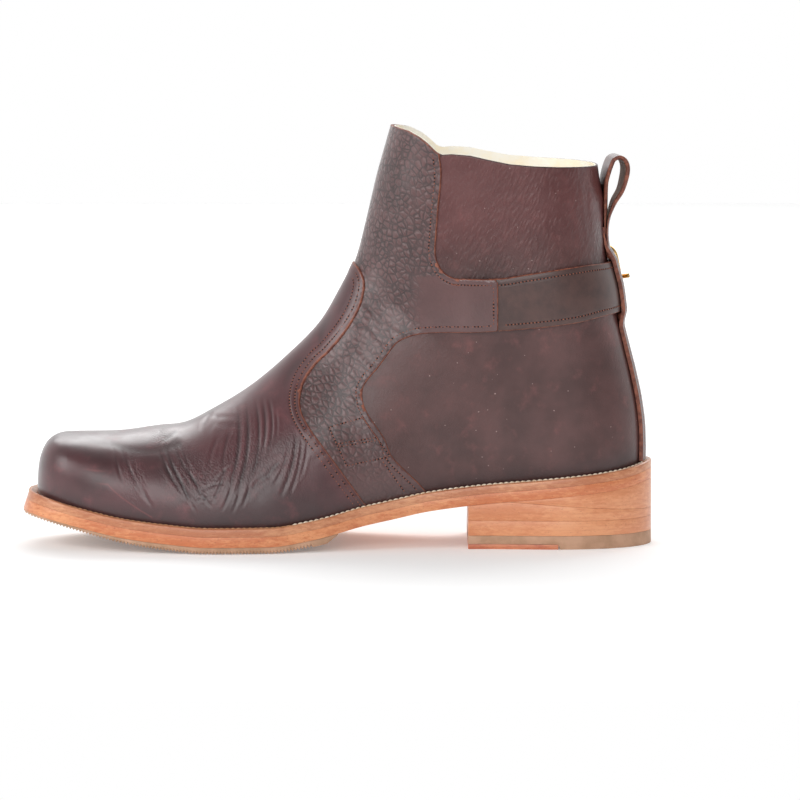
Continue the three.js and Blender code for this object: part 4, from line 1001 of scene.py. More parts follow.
# Stitch rows in side view
vamp_rows = [above_welt(inset_line(vamp_edge, d), 1.5) for d in (2.4, 4.9)]
panel_low_row = above_welt(inset_line(panel_low[panel_low[:, 0] > 96], -3.0), 1.5)
panel_top_row = inset_line(panel_top[panel_top[:, 0] > 93], -3.0)
panel_top_row = panel_top_row[panel_top_row[:, 1] < 0.935 * BOOT_HEIGHT]
tab_x = np.linspace(STRAP_END + 2.6, 97, 24)
tab_low_row = np.column_stack([tab_x, strap_low(tab_x) + 3.0])
tab_high_row = np.column_stack([tab_x, strap_high(tab_x) - 3.0])
tab_end_rows = [np.array([(STRAP_END + 2.1, float(strap_low(STRAP_END)) + 3.0),
                          (STRAP_END + 2.1, float(strap_high(STRAP_END)) - 3.0)])]
BOX = np.array([(140.2, 63.5), (156.5, 59), (148.1, 40.7), (127.2, 44.7)])
box_rows = [
    np.vstack([BOX, BOX[:1]]),
    np.array([(152.6, 51.2), (133.4, 54)]),
    np.array([(152.0, 49.8), (133.9, 52.5)]),
    np.array([(130.9, 42.7), (119.8, 27)]),
]
panel_rows = [panel_low_row, panel_top_row, tab_low_row, tab_high_row] + tab_end_rows + box_rows


def tab_fall(x):
    return 1 - ease(STRAP_END + 9, STRAP_END + 24, x)


def on_tab(x, z):
    """1 over the strap's height, falling off above and below."""
    low, high = strap_low(x), strap_high(x)
    return ease(low - 2.5, low + 0.5, z) * (1 - ease(high - 0.5, high + 2.5, z))


RIDGE_LINE = smooth_line([(296, 45), (293.5, 49.6), (288, 51), (276, 50.6), (262, 48.6), (252, 46.6),
                          (240, 46.4), (228, 49)], 6)
SCRATCH = smooth_line([(272.5, 40.6), (266, 36), (259, 29), (249, 22), (241, 17.4)], 6)

# Patches of fine crinkles: place and reach along the boot, height and reach upward
CRINKLED = ((222, 12, 35, 11), (196, 11, 46, 15), (174, 6, 44, 12), (250, 5, 34, 9), (237, 4, 52, 3))


def near_line(line, x, z, width):
    near = np.abs(signed_distance(line, x, z))
    return np.exp(-(near / width) ** 2)


def vamp_relief(x, z, side):
    medial = creases(VAMP_CREASES, x, z)
    lateral = creases(LATERAL_CREASES, x, z)
    return CREASE_DEPTH * np.where(side > 0, medial, lateral)


def vamp_outside(x, z, side):
    near = vamp_field(x, z, side)
    ridge = 0.12 * np.exp(-((near - 3.6) / 1.6) ** 2) - 0.25 * near_line(RIDGE_LINE, x, z, 1.6)
    return (PANEL_STEP + VAMP_STEP - edge_drop(near) + vamp_relief(x, z, side) + ridge
            + row_groove(vamp_rows, x, z))


def panel_base(x, z, side):
    rise = np.where(side > 0, (TAB_RISE - PANEL_STEP) * tab_fall(x) * on_tab(x, z), 0)
    return PANEL_STEP + rise


def panel_outside(x, z, side):
    near = np.minimum(panel_field(x, z, side), collar_field(x, z, side))
    return (panel_base(x, z, side) - edge_drop(near) + row_groove(panel_rows, x, z)
            + creases(PANEL_CREASES, x, z))


def panel_inside(x, z, side):
    rise = np.where(side > 0, 3.1 * tab_fall(x) * on_tab(x, z), 0)
    return rise - 0.5


def quarter_outside(x, z, side):
    return creases(SHAFT_CREASES, x, z) - edge_drop(collar_field(x, z, side), 0.3)


def flat(offset):
    return lambda x, z, side: np.full(x.shape, float(offset))


# Attributes for the vamp's colour: height above the welt, for the painted shade low down; the crease
# relief, for painted shade in troughs and painted highlight on shoulders; the toe's ridge line; a
# scratch; and patches of fine crinkles.
def tone(x, z, side):
    return {"height": z - welt_top(x), "relief": vamp_relief(x, z, side),
            "ridge": near_line(RIDGE_LINE, x, z, 1.5),
            "scratch": 0.5 * near_line(SCRATCH, x, z, 0.3) * (side > 0),
            "crinkle": np.minimum(1, sum(np.exp(-((x - a) / b) ** 2 - ((z - c) / d) ** 2)
                                         for a, b, c, d in CRINKLED))}


def uneven(stops, counts):
    """Stations that lie closer together between some stops than between others."""
    parts = [np.linspace(a, b, n, endpoint=False) for a, b, n in zip(stops, stops[1:], counts)]
    return np.concatenate(parts + [[stops[-1]]])


LAP = 7.0  # how far one leather runs on under the next
crease_start = float(locate(np.array([262.0]), np.array([36.0]))[0][0])
crease_end = float(locate(np.array([166.0]), np.array([45.0]))[0][0])
vamp = sheet_on_form(
    "vamp", uneven((-1, crease_start, crease_end, 0.78), (50, 220, 60)),
    uneven((-0.86, -0.28, 0.28, 0.86), (115, 45, 130)), [vamp_field, feather_field],
    vamp_outside, flat(0.6), vamp_field, [vamp_material, edge_material], "upper_leather", False, tone)
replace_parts(vamp, "upper")
sheet_on_form(
    "front_panel", np.linspace(0.2, 1, 260), np.linspace(-0.97, 0.97, 190),
    [panel_field, feather_field, collar_field, lambda x, z, side: LAP - vamp_field(x, z, side)],
    panel_outside, panel_inside, lambda x, z, side: np.minimum(panel_field(x, z, side),
                                                               collar_field(x, z, side)),
    [panel_material, edge_material], "upper_leather", True,
    lambda x, z, side: {"height": z - welt_top(x), "smooth": tab_fall(x - 22) * on_tab(x, z)})
sheet_on_form(
    "quarters", np.linspace(0.3, 1, 220), np.linspace(-1, 1, 200),
    [feather_field, collar_field, lambda x, z, side: LAP - panel_field(x, z, side)],
    quarter_outside, flat(-0.9), collar_field, [quarter_material, dark_edge_material],
    "upper_leather", True, lambda x, z, side: {"height": z - welt_top(x)})
sheet_on_form(
    "lining", np.linspace(-1, 1, 200), np.linspace(-1, 1, 150), [feather_field, collar_field],
    flat(-0.95), flat(-WALL), None, [lining_material, lining_material], "lining_leather")


# Sole: outlines in top view and layers with rounded edges
def sole_outline(inset, first, last, spacing):
    """Stations along the sole and both edges there, about evenly spaced along the edge."""
    start, end = max(first, inset), min(last, SOLE_LENGTH - inset)
    angle = np.linspace(0, np.pi, 1200)
    x = (start + end) / 2 - (end - start) / 2 * np.cos(angle)
    edge = np.column_stack([x, sole_half(x, np.ones_like(x), inset)])
    x = resample(edge, spacing)[:, 0]
    x[0], x[-1] = start, end
    medial = middle_line(x) + sole_half(x, np.ones_like(x), inset)
    lateral = middle_line(x) - sole_half(x, -np.ones_like(x), inset)
    return x, medial, lateral


def sole_ring(inset, first, last, spacing):
    """The closed outline, medial side forward, lateral side back, with outward normals."""
    x, medial, lateral = sole_outline(inset, first, last, spacing)
    closed_front = medial[-1] - lateral[-1] < 0.5
    back = slice(-2, 0, -1) if closed_front else slice(-1, 0, -1)
    ring = np.concatenate([np.column_stack([x, medial]), np.column_stack([x, lateral])[back]])
    ahead, behind = np.roll(ring, -1, 0), np.roll(ring, 1, 0)
    tangent = ahead - behind
    tangent /= np.maximum(np.linalg.norm(tangent, axis=1, keepdims=True), 1e-9)
    normal = np.column_stack([-tangent[:, 1], tangent[:, 0]])
    return ring, normal, len(x), closed_front


def toe_lean(x, z):
    """How far the front of the sole's edge leans back at a height."""
    share = np.clip((z - outsole_bottom(x)) / (welt_top(x) - outsole_bottom(x)), 0, 1)
    return 3.0 * share * ease(SOLE_LENGTH - 30, SOLE_LENGTH - 4, x)


def sole_layer(name, first, last, bottom, top, inset, materials, slot, spacing=1.2, bevel=0.5,
               teeth=None, lean=0):
    """A slab with the sole's outline: a swept, rounded edge, closed above and below."""
    ring, normal, count, _ = sole_ring(inset, first, last, spacing)
    low, high = bottom(ring[:, 0]), top(ring[:, 0])
    thick = high - low
    b = np.minimum(bevel, thick * 0.45)
    steps = [(0, b), (b * 0.3, b * 0.3), (b, 0 * b), (thick * 0.5, 0 * b), (thick - b, 0 * b),
             (thick - b * 0.3, b * 0.3), (thick, b)]
    points = []
    for k, (rise, draw) in enumerate(steps):
        notch = teeth(ring[:, 0]) if teeth and k < 3 else 0
        pull = draw + 0.6 * notch
        side = ring - normal * pull[:, None]
        height = low + rise + notch
        side[:, 0] -= toe_lean(side[:, 0], height) * lean
        points.append(np.column_stack([side, height]))
    n = len(ring)
    points = np.vstack(points)
    faces = [list(f) for f in grid_faces(len(steps), n, close=True)]
    for layer, flip in ((0, False), (len(steps) - 1, True)):
        base = layer * n
        for i in range(count - 1):
            quad = [base + i, base + i + 1, base + (n - i - 1) % n, base + (n - i) % n]
            quad = [v for j, v in enumerate(quad) if v not in quad[:j]]
            if len(quad) >= 3:
                faces.append(quad[::-1] if flip else quad)
    return add_mesh(name, points, faces, materials, None, None, 30, slot)


WELT_SIDE = ((0.06, 0), (0, 0.1), (0, 1.2), (0, 2.9), (0.25, 3.6), (0.9, 4))  # drawn in, height


def welt_ring(name, inset, inner, materials, slot):
    """The welt: its rounded outer side, and an inner side hidden under the upper."""
    outer_ring, normal, count, _ = sole_ring(inset, 0, SOLE_LENGTH, 0.8)
    x = outer_ring[:, 0]
    inner_x = inner + (x - inset) / (SOLE_LENGTH - 2 * inset) * (SOLE_LENGTH - 2 * inner)
    side = np.ones(len(x))
    side[count:] = -1
    inner_y = middle_line(inner_x) + side * sole_half(inner_x, side, inner)
    inner_ring = np.column_stack([inner_x, inner_y])
    low = welt_top(x) - WELT_THICKNESS
    points = []
    for draw, rise in WELT_SIDE:
        side = outer_ring - normal * draw
        side[:, 0] -= toe_lean(side[:, 0], low + rise)
        points.append(np.column_stack([side, low + rise]))
    points.append(np.column_stack([inner_ring, welt_top(inner_x) - 0.05]))
    points.append(np.column_stack([inner_ring, welt_top(inner_x) - WELT_THICKNESS + 0.1]))
    rows, n = len(points), len(outer_ring)
    faces = grid_faces(rows + 1, n, close=True) % (rows * n)
    return add_mesh(name, np.vstack(points), faces, materials, None, None, 30, slot)


def stack_top(x):
    end = outsole_bottom(WEDGE_LENGTH) - 0.3
    return np.minimum(mix(STACK_BACK_HEIGHT, end, x / WEDGE_LENGTH), outsole_bottom(x) - 0.05)


TOOTH = 1.6
TOOTH_DEPTH = 0.9
TEETH_START = HALF_SOLE_START + 12


def tooth_notch(x):
    """How far the half sole's lower edge is cut away between its fine teeth."""
    return TOOTH_DEPTH / 2 * (1 + np.cos(2 * np.pi * x / TOOTH)) * (x > TEETH_START)


def half_sole_bottom(x):
    thin = mix(HALF_SOLE_THICKNESS, HALF_SOLE_TOE_THICKNESS, ease(0.72, 1, x / SOLE_LENGTH))
    skive = np.clip((x - HALF_SOLE_START) / HALF_SOLE_SKIVE, 0, 1)
    return np.maximum(0, outsole_bottom(x) - mix(0.6, thin, skive))


def level(height):
    return lambda x: np.full(np.shape(x), float(height))


welt = welt_ring("welt_band", 0.3, 7.6, [welt_material], "welt_leather")
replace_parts(welt, "welt")

def rubber_lift_bottom(x):
    """On the floor behind, over the leather insert in front."""
    return np.where(x > HEEL_LENGTH - INSERT_LENGTH - 0.05, INSERT_HEIGHT + 0.05, 0.0)


LIFT_TOP = TOP_LIFT_HEIGHT + LIFT_HEIGHT
INSERT_START = HEEL_LENGTH - INSERT_LENGTH
for name, node, first, last, bottom, top, inset, material, slot, settings in (
        ("leather_outsole", "outsole", 0, SOLE_LENGTH, outsole_bottom,
         lambda x: welt_top(x) - WELT_THICKNESS - 0.05, 0.3, sole_edge_material, "sole_leather",
         {"bevel": 0.15, "lean": 1}),
        ("rubber_half_sole", "half_sole", HALF_SOLE_START, SOLE_LENGTH, half_sole_bottom,
         lambda x: outsole_bottom(x) - 0.02, 0.4, rubber_material, "sole_rubber",
         {"spacing": 0.35, "bevel": 0.3, "teeth": tooth_notch}),
        ("leather_wedge", "heel_wedge", 0, WEDGE_LENGTH, lambda x: stack_top(x) + 0.05,
         lambda x: outsole_bottom(x) - 0.02, 0.3, stack_material, "sole_leather", {"bevel": 0.15}),
        ("upper_lift", "heel_lift_upper", 0, HEEL_LENGTH, level(LIFT_TOP + 0.03), stack_top,
         0.3, stack_material, "sole_leather", {"bevel": 0.15}),
        ("lower_lift", "heel_lift_lower", 0, HEEL_LENGTH, level(TOP_LIFT_HEIGHT + 0.03),
         level(LIFT_TOP), 0.3, stack_material, "sole_leather", {"bevel": 0.15}),
        ("rubber_lift", "top_lift", 0, HEEL_LENGTH, rubber_lift_bottom, level(TOP_LIFT_HEIGHT),
         0.3, rubber_material, "sole_rubber", {"bevel": 0.25}),
        ("lift_insert", "top_lift_insert", INSERT_START, HEEL_LENGTH, level(0),
         level(INSERT_HEIGHT), 0.3, insert_material, "sole_leather", {"bevel": 0.2})):
    layer = sole_layer(name, first, last, bottom, top, inset, [material], slot, **settings)
    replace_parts(layer, node)


insole_material = plain("insole_leather", "d9bd95", "ecd6b2", 9, 0.6)
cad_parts["insole"].data.materials.clear()
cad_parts["insole"].data.materials.append(insole_material)


# Round the shaft at one height: turn is 0 at the back, positive on the medial side
def wrap_x(z, turn):
    angle = np.abs(turn)
    return back_of(z) + WRAP * np.where(angle < np.pi / 2, 1 - np.cos(angle), 1 + angle - np.pi / 2)


def wrap_point(z, turn):
    z, turn = np.broadcast_arrays(np.asarray(z, float), np.asarray(turn, float))
    x = wrap_x(z, turn)
    side = np.where(turn < 0, -1.0, 1.0)
    q, t = locate(x, z)
    half = form_half(x, z, side, t, section(q)[2])
    return np.stack([x, middle_line(x) + side * half * np.tanh(np.abs(turn) * 40), z], -1)


def wrap_normal(z, turn):
    around = wrap_point(z, turn + 0.03) - wrap_point(z, turn - 0.03)
    up = wrap_point(z + 1.5, turn) - wrap_point(z - 1.5, turn)
    normal = np.cross(up, around)
    return normal / np.linalg.norm(normal, axis=-1, keepdims=True)


def wrap_offset(z, turn, offset):
    z, turn = np.broadcast_arrays(np.asarray(z, float), np.asarray(turn, float))
    return wrap_point(z, turn) + wrap_normal(z, turn) * np.asarray(offset)[..., None]


def turn_at(x, z):
    deep = 1 - (x - back_of(z)) / WRAP
    return np.where(deep > 0, np.arccos(np.clip(deep, -1, 1)), np.pi / 2 + (x - back_of(z)) / WRAP - 1)


def loft(name, rings, materials, slot, smooth=35, slots=None):
    """A closed piece through closed rings of points."""
    rings = np.asarray(rings)
    rows, n = rings.shape[:2]
    faces = [list(f) for f in grid_faces(rows, n, close=True)]
    faces.append(list(range(n))[::-1])
    faces.append([(rows - 1) * n + i for i in range(n)])
    return add_mesh(name, rings.reshape(-1, 3), faces, materials, slots, None, smooth, slot)


def strap_middle(x):
    return (strap_low(x) + strap_high(x)) / 2


# Ankle strap: over the buckle's front bar, then on the billet
BILLET_TOP = GAP + BILLET_THICKNESS
BAR_HEIGHT = BILLET_TOP + GAP + BUCKLE_THICKNESS / 2
STRAP_OVER_BAR = BAR_HEIGHT + BUCKLE_THICKNESS / 2 + 3 * GAP
STRAP_BACK = (BOOT_HEIGHT * STRAP_EDGES[0, 1], BOOT_HEIGHT * STRAP_EDGES[0, 2])
STRAP_ROW = sum(STRAP_BACK) / 2


def strap_floor(x, side):
    rise = ease(BAR_PLACE - STRAP_CLIMB, BAR_PLACE - BUCKLE_BAR, x)
    fall = ease(BAR_PLACE + BUCKLE_BAR, BAR_PLACE + STRAP_FALL, x)
    return np.where(side > 0, GAP, mix(mix(GAP, STRAP_OVER_BAR, rise), BILLET_TOP + GAP, fall))


def strap_place(values):
    """x, z, turn and side of points given by their turn and their share of the width."""
    turn = values[:, 0]
    x = wrap_x(np.full(turn.shape, STRAP_ROW), turn)
    return x, mix(strap_low(x), strap_high(x), values[:, 1]), turn, np.where(turn < 0, -1.0, 1.0)


def strap_edge(values):
    x, z, turn, side = strap_place(values)
    half = (strap_high(x) - strap_low(x)) / 2
    tip = np.where(side < 0, np.clip((x - STRAP_TIP + STRAP_TIP_LENGTH) / STRAP_TIP_LENGTH, 0, 1), 0)
    return np.minimum(half * (1 - 0.85 * tip ** 2) - np.abs(z - strap_middle(x)),
                      np.where(side < 0, STRAP_TIP - x, 50))


HOLES = (38.6, 46, 53.4, 60.8)
HOLE_SIZE = 1.3


def clear_of_holes(values):
    x, z, turn, side = strap_place(values)
    near = np.full(x.shape, 50.0)
    for place in HOLES:
        near = np.minimum(near, np.hypot(x - place, z - strap_middle(place)) - HOLE_SIZE)
    return np.where(side < 0, near, 50)


STRAP_ROW_INSET = 3.0


def strap_rows(x, z):
    return np.minimum(np.abs(z - strap_low(x) - STRAP_ROW_INSET),
                      np.abs(strap_high(x) - z - STRAP_ROW_INSET))


def strap_height(values):
    x, z, turn, side = strap_place(values)
    groove = -0.16 * np.exp(-(strap_rows(x, z) / 0.45) ** 2)
    swell = 0.35 * np.exp(-(strap_edge(values) / 1.6) ** 2)
    return strap_floor(x, side) + STRAP_THICKNESS - edge_drop(strap_edge(values)) + groove - swell


def strap_side(height):
    def points(values):
        x, z, turn, side = strap_place(values)
        return wrap_offset(z, turn, height(values))
    return points


def make_strap():
    start, end = turn_at(STRAP_END + 3, STRAP_ROW), -turn_at(STRAP_TIP, STRAP_ROW)
    turn, share = np.meshgrid(np.linspace(float(start), float(end), 300), np.linspace(0, 1, 40),
                              indexing="ij")
    values = np.column_stack([turn.ravel(), share.ravel()])
    return sheet("strap", values, grid_faces(300, 40), [strap_edge, clear_of_holes],
                 strap_side(strap_height), strap_side(lambda v: strap_floor(*strap_place(v)[::3])),
                 strap_edge, [strap_material, edge_material], "strap_leather")


def ring_band(rows, inside, outside, low, high, steps=10, round_off=0.5):
    """Closed rings of a strip's section: rows of turns, functions of x for its edges."""
    rings = []
    share = np.linspace(0, 1, steps)
    for turn in rows:
        x = float(wrap_x(STRAP_ROW, turn))
        a, b = float(low(x)), float(high(x))
        top = np.full(steps, float(outside(x)))
        top[[0, -1]] -= round_off
        z = np.concatenate([mix(a, b, share), mix(b, a, share)])
        z[1], z[steps - 2] = a + round_off, b - round_off
        offset = np.concatenate([top, np.full(steps, float(inside(x)))])
        rings.append(wrap_offset(z, np.full(z.shape, turn), offset))
    return rings


def make_billet():
    first, last = -turn_at(STRAP_END, STRAP_ROW), -turn_at(BAR_PLACE + 2.2, STRAP_ROW)
    rows = np.linspace(float(first), float(last), 50)
    trim = BUCKLE_BAR / 2
    rings = ring_band(rows, lambda x: GAP, lambda x: BILLET_TOP, lambda x: strap_low(x) + trim,
                      lambda x: strap_high(x) - trim)
    return loft("billet", rings, [strap_material], "strap_leather", 50)


def make_keeper():
    top = BILLET_TOP + GAP + STRAP_THICKNESS + GAP
    rows = np.linspace(-float(turn_at(KEEPER_PLACE - KEEPER_WIDTH / 2, STRAP_ROW)),
                       -float(turn_at(KEEPER_PLACE + KEEPER_WIDTH / 2, STRAP_ROW)), 9)
    rings = []
    t, r = KEEPER_THICKNESS, 0.9
    for k, turn in enumerate(rows):
        x = float(wrap_x(STRAP_ROW, turn))
        a, b = float(strap_low(x)) - 2 * GAP, float(strap_high(x)) + 2 * GAP
        soft = 0.35 if k in (0, len(rows) - 1) else 0.0
        section = [(a - t, GAP), (a - t, top), (a - t + 0.3 * r, top + 0.7 * r),
                   (a - t + r, top + t - soft)]
        section += [(mix(a, b, s), top + t - soft) for s in (0.15, 0.35, 0.5, 0.65, 0.85)]
        section += [(b + t - r, top + t - soft), (b + t - 0.3 * r, top + 0.7 * r), (b + t, top),
                    (b + t, GAP)]
        section += [(b, GAP), (b, top - 0.3)] + [(mix(b, a, s), top) for s in (0.02, 0.3, 0.5, 0.7, 0.98)]
        section += [(a, top - 0.3), (a, GAP)]
        z, o = np.array(section).T
        rings.append(wrap_offset(z, np.full(z.shape, turn), o))
    return loft("keeper", rings, [strap_material], "strap_leather", 40)


for make, node in ((make_strap, "ankle_strap"), (make_billet, "buckle_billet"),
                   (make_keeper, "strap_keeper")):
    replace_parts(make(), node)


# Buckle: a rounded frame whose plane runs from the front bar back to its rear bar
def turn_of_x(x):
    z = strap_middle(x)
    return turn_at(np.asarray(float(x)), z)


bar_turn = -float(turn_of_x(BAR_PLACE))
bar_centre = wrap_offset(strap_middle(BAR_PLACE), bar_turn, BAR_HEIGHT)
bar_up = (wrap_offset(strap_high(BAR_PLACE), bar_turn, BAR_HEIGHT)
          - wrap_offset(strap_low(BAR_PLACE), bar_turn, BAR_HEIGHT))
bar_up = bar_up / np.linalg.norm(bar_up)
slant = np.array([-math.cos(math.radians(BUCKLE_ANGLE)), math.sin(math.radians(BUCKLE_ANGLE)), 0])
frame_back = slant - bar_up * (slant @ bar_up)
frame_back = frame_back / np.linalg.norm(frame_back)
frame_in = np.cross(frame_back, bar_up)


def in_buckle(points):
    p = np.asarray(points, float)
    return bar_centre + p[..., :1] * frame_back + p[..., 1:2] * bar_up + p[..., 2:3] * frame_in


def swept(path, ups, widths, heights, close=False, corners=12, power=2.6):
    """Rings of a rounded section along a path; ups is the direction of its height."""
    path = np.asarray(path, float)
    tangent = (np.roll(path, -1, 0) - np.roll(path, 1, 0)) if close else np.gradient(path, axis=0)
    tangent /= np.linalg.norm(tangent, axis=1, keepdims=True)
    angle = np.linspace(0, 2 * np.pi, corners, endpoint=False)
    c = np.sign(np.cos(angle)) * np.abs(np.cos(angle)) ** (2 / power)
    s = np.sign(np.sin(angle)) * np.abs(np.sin(angle)) ** (2 / power)
    across = np.cross(tangent, ups)
    across /= np.linalg.norm(across, axis=1, keepdims=True)
    high = np.cross(across, tangent)
    return (path[:, None] + across[:, None] * (c[None, :, None] * np.reshape(widths, (-1, 1, 1)) / 2)
            + high[:, None] * (s[None, :, None] * np.reshape(heights, (-1, 1, 1)) / 2))


def make_buckle():
    half = float(strap_high(BAR_PLACE) - strap_low(BAR_PLACE)) / 2 + BUCKLE_PLAY + BUCKLE_BAR / 2
    rear, corner = BUCKLE_LENGTH - BUCKLE_BAR, BUCKLE_CORNER - BUCKLE_BAR / 2
    path = []
    for cx, cy, start in ((rear - corner, -half + corner, -90), (rear - corner, half - corner, 0),
                          (corner, half - corner, 90), (corner, -half + corner, 180)):
        for a in np.radians(np.linspace(start, start + 90, 9)):
            path.append((cx + corner * math.cos(a), cy + corner * math.sin(a), 0))
    path = resample(np.array(path + path[:1]), 1.1)[:-1]
    out = np.tile([0, 0, 1.0], (len(path), 1))
    rings = swept(path, out, BUCKLE_BAR, BUCKLE_THICKNESS, True, 14)
    rows, n = rings.shape[:2]
    faces = grid_faces(rows + 1, n, close=True) % (rows * n)
    return add_mesh("buckle", in_buckle(rings).reshape(-1, 3), faces, [brass_material], None, None, 60,
                    "brass")


def make_prong():
    low = BUCKLE_THICKNESS / 2 + GAP + PRONG_THICKNESS / 2
    end = BUCKLE_LENGTH - BUCKLE_BAR / 2 + PRONG_TIP
    path = smooth_line([(2.5, 0, 0.6), (2.8, 0, -0.6), (3.8, 0, 0.2 - low), (6, 0, -low), (12, 0, -low),
                        (end - 2, 0, -low), (end, 0, 0.3 - low)], 8)
    thin = np.linspace(1, 0.9, len(path))
    up = np.tile([0, 0, 1.0], (len(path), 1)) + np.array([-0.6, 0, 0])
    rings = swept(path, up, PRONG_WIDTH * thin, PRONG_THICKNESS * thin, False, 10, 2.2)
    return loft("prong", in_buckle(rings), [brass_material], "brass", 60)


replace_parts(make_buckle(), "buckle_frame")
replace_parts(make_prong(), "buckle_prong")


# Back strip and pull loop
def strip_floor(z, reach=8.5, margin=-1.0):
    over = STRAP_THICKNESS + 1.5 * GAP
    up = ease(STRAP_BACK[0] - reach, STRAP_BACK[0] - margin, z)
    down = ease(STRAP_BACK[1] + margin, STRAP_BACK[1] + reach, z)
    return GAP + over * (up - down)


STRIP_ROW = 3.0


def strip_side(offset, edge=False):
    """The strip's outer or inner side, as points from height and distance off its middle."""
    def points(values):
        z, y = values[:, 0], values[:, 1]
        turns = np.linspace(0, 1.5, 50)
        turn = np.zeros(z.shape)
        for level in np.unique(z):
            row = z == level
            reach = wrap_point(np.full(50, level), turns)[:, 1] - middle_line(0)
            turn[row] = np.sign(y[row]) * np.interp(np.abs(y[row]), reach, turns)
        thin = 1 - 0.75 * ease(0.685 * BOOT_HEIGHT, 0.745 * BOOT_HEIGHT, z)
        packed = ease(0.3, 1.5, strip_edge(values))
        inner = mix(strip_floor(z), strip_floor(z, 1.6, 0.4), packed)
        height = offset * thin + strip_floor(z) if edge else inner
        if edge:
            near = strip_edge(values)
            height = height - edge_drop(near) - 0.14 * np.exp(-((near - STRIP_ROW) / 0.45) ** 2)
        return wrap_offset(z, turn, height)
    return points


def strip_edge(values):
    return STRIP_WIDTH / 2 - np.abs(values[:, 1])


STRIP_BOTTOM = float(welt_top(back_of(welt_top(0)))) + 2 * GAP
z, y = np.meshgrid(np.linspace(STRIP_BOTTOM, 0.75 * BOOT_HEIGHT, 130),
                   np.linspace(-STRIP_WIDTH / 2, STRIP_WIDTH / 2, 33), indexing="ij")
strip_values = np.column_stack([z.ravel(), y.ravel()])
back_strip = sheet("heel_strip", strip_values, grid_faces(130, 33)[:, ::-1], [],
                   strip_side(STRIP_THICKNESS, True), strip_side(0), strip_edge,
                   [strip_material, edge_material], "strap_leather")
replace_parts(back_strip, "back_strip")

LOOP_LINE = (  # the band's middle: distance from the back line and height, as shares of the height
    (0.0072, 0.69), (0.0068, 0.72), (0.0078, 0.745), (0.0125, 0.774), (0.0268, 0.808), (0.0475, 0.838),
    (0.0645, 0.872), (0.0688, 0.893), (0.0645, 0.9075), (0.0535, 0.9145), (0.0385, 0.909),
    (0.031, 0.8966), (0.0245, 0.8834), (0.0115, 0.8527), (0.0054, 0.8234), (0.0036, 0.79),
    (0.003, 0.765), (0.003, 0.735),
)
LOOP_THICKNESS = 1.9
LOOP_TWIST = 2.6


def make_loop():
    line = smooth_line(np.array(LOOP_LINE) * BOOT_HEIGHT, 8)
    line = resample(line, 1.2)
    path = np.column_stack([back_of(line[:, 1]) - GAP - line[:, 0], np.zeros(len(line)), line[:, 1]])
    tangent = np.gradient(path, axis=0)
    tangent /= np.linalg.norm(tangent, axis=1, keepdims=True)
    out = np.cross(np.array([0, 1.0, 0]), tangent)
    half, t, r = LOOP_WIDTH / 2, LOOP_THICKNESS / 2, 0.55
    across = np.linspace(-half + 2, half - 2, 7)
    section = [(-half, -t + r), (-half + r, -t)] + [(y, -t) for y in across]
    section += [(half - r, -t), (half, -t + r), (half, t - r), (half - r, t)]
    section += [(y, t) for y in across[::-1]] + [(-half + r, t), (-half, t - r)]
    section = np.array(section)
    thin = 0.4 + 0.6 * ease(0.745 * BOOT_HEIGHT, 0.82 * BOOT_HEIGHT, line[:, 1])
    rings = (path[:, None] + section[None, :, :1] * np.array([0, 1.0, 0])
             + section[None, :, 1:] * (out * thin[:, None])[:, None])
    turned = ease(0.76 * BOOT_HEIGHT, 0.9 * BOOT_HEIGHT, rings[..., 2])
    rings[..., 0] += LOOP_TWIST * turned * (half - rings[..., 1]) / LOOP_WIDTH
    turns = np.linspace(0, 1.2, 40)
    for ring, height in zip(rings, line[:, 1]):
        surface = wrap_point(np.full(40, min(height, 0.86 * BOOT_HEIGHT)), turns)
        reach = surface[:, 1] - middle_line(0)
        curved = np.interp(np.abs(ring[:, 1]), reach, surface[:, 0]) - surface[0, 0]
        ring[:, 0] += curved * (1 - float(ease(0.8 * BOOT_HEIGHT, 0.86 * BOOT_HEIGHT, height)))
    n = len(section)
    slots = []
    for i in range(len(path) - 1):
        for j in range(n):
            a, b = section[j], section[(j + 1) % n]
            on_edge = min(abs(a[0]), abs(b[0])) > half - 0.6
            slots.append(1 if on_edge else (2 if a[1] > 0 else 0))
    slots += [1, 1]
    return loft("pull_loop", rings, [strip_material, edge_material, flesh_material],
                "strap_leather", 50, slots)


make_loop()


# Stitches: a short thread from hole to hole
STITCH = 1.72
THREAD = 0.27
HOLE_RADIUS = 0.46


def thread_template(length, radius, arch, rings=5, corners=6):
    share = np.linspace(-1, 1, rings)
    angle = np.linspace(0, 2 * np.pi, corners, endpoint=False)
    size = radius * np.sqrt(1 - 0.8 * share ** 2)
    points = [(s * length / 2, w * math.cos(a), arch * (1 - s * s) + w * math.sin(a) - 0.3 * radius)
              for s, w in zip(share, size) for a in angle]
    faces = [list(f) for f in grid_faces(rings, corners, close=True)]
    faces += [list(range(corners))[::-1], [(rings - 1) * corners + i for i in range(corners)]]
    return np.array(points), faces


# A small dark disc on the surface, painted shade standing for the inside of a stitch hole.
def hole_template(radius, corners=7):
    angle = np.linspace(0, 2 * np.pi, corners, endpoint=False)
    ring = np.column_stack([radius * np.cos(angle), radius * np.sin(angle)])
    points = np.vstack([np.column_stack([ring * 0.9, np.full(corners, -0.3)]),
                        np.column_stack([ring, np.full(corners, 0.08)]), [(0, 0, 0.12)]])
    faces = [list(f) for f in grid_faces(2, corners, close=True)]
    faces += [[corners + i, corners + (i + 1) % corners, 2 * corners] for i in range(corners)]
    faces.append(list(range(corners))[::-1])
    return points, faces


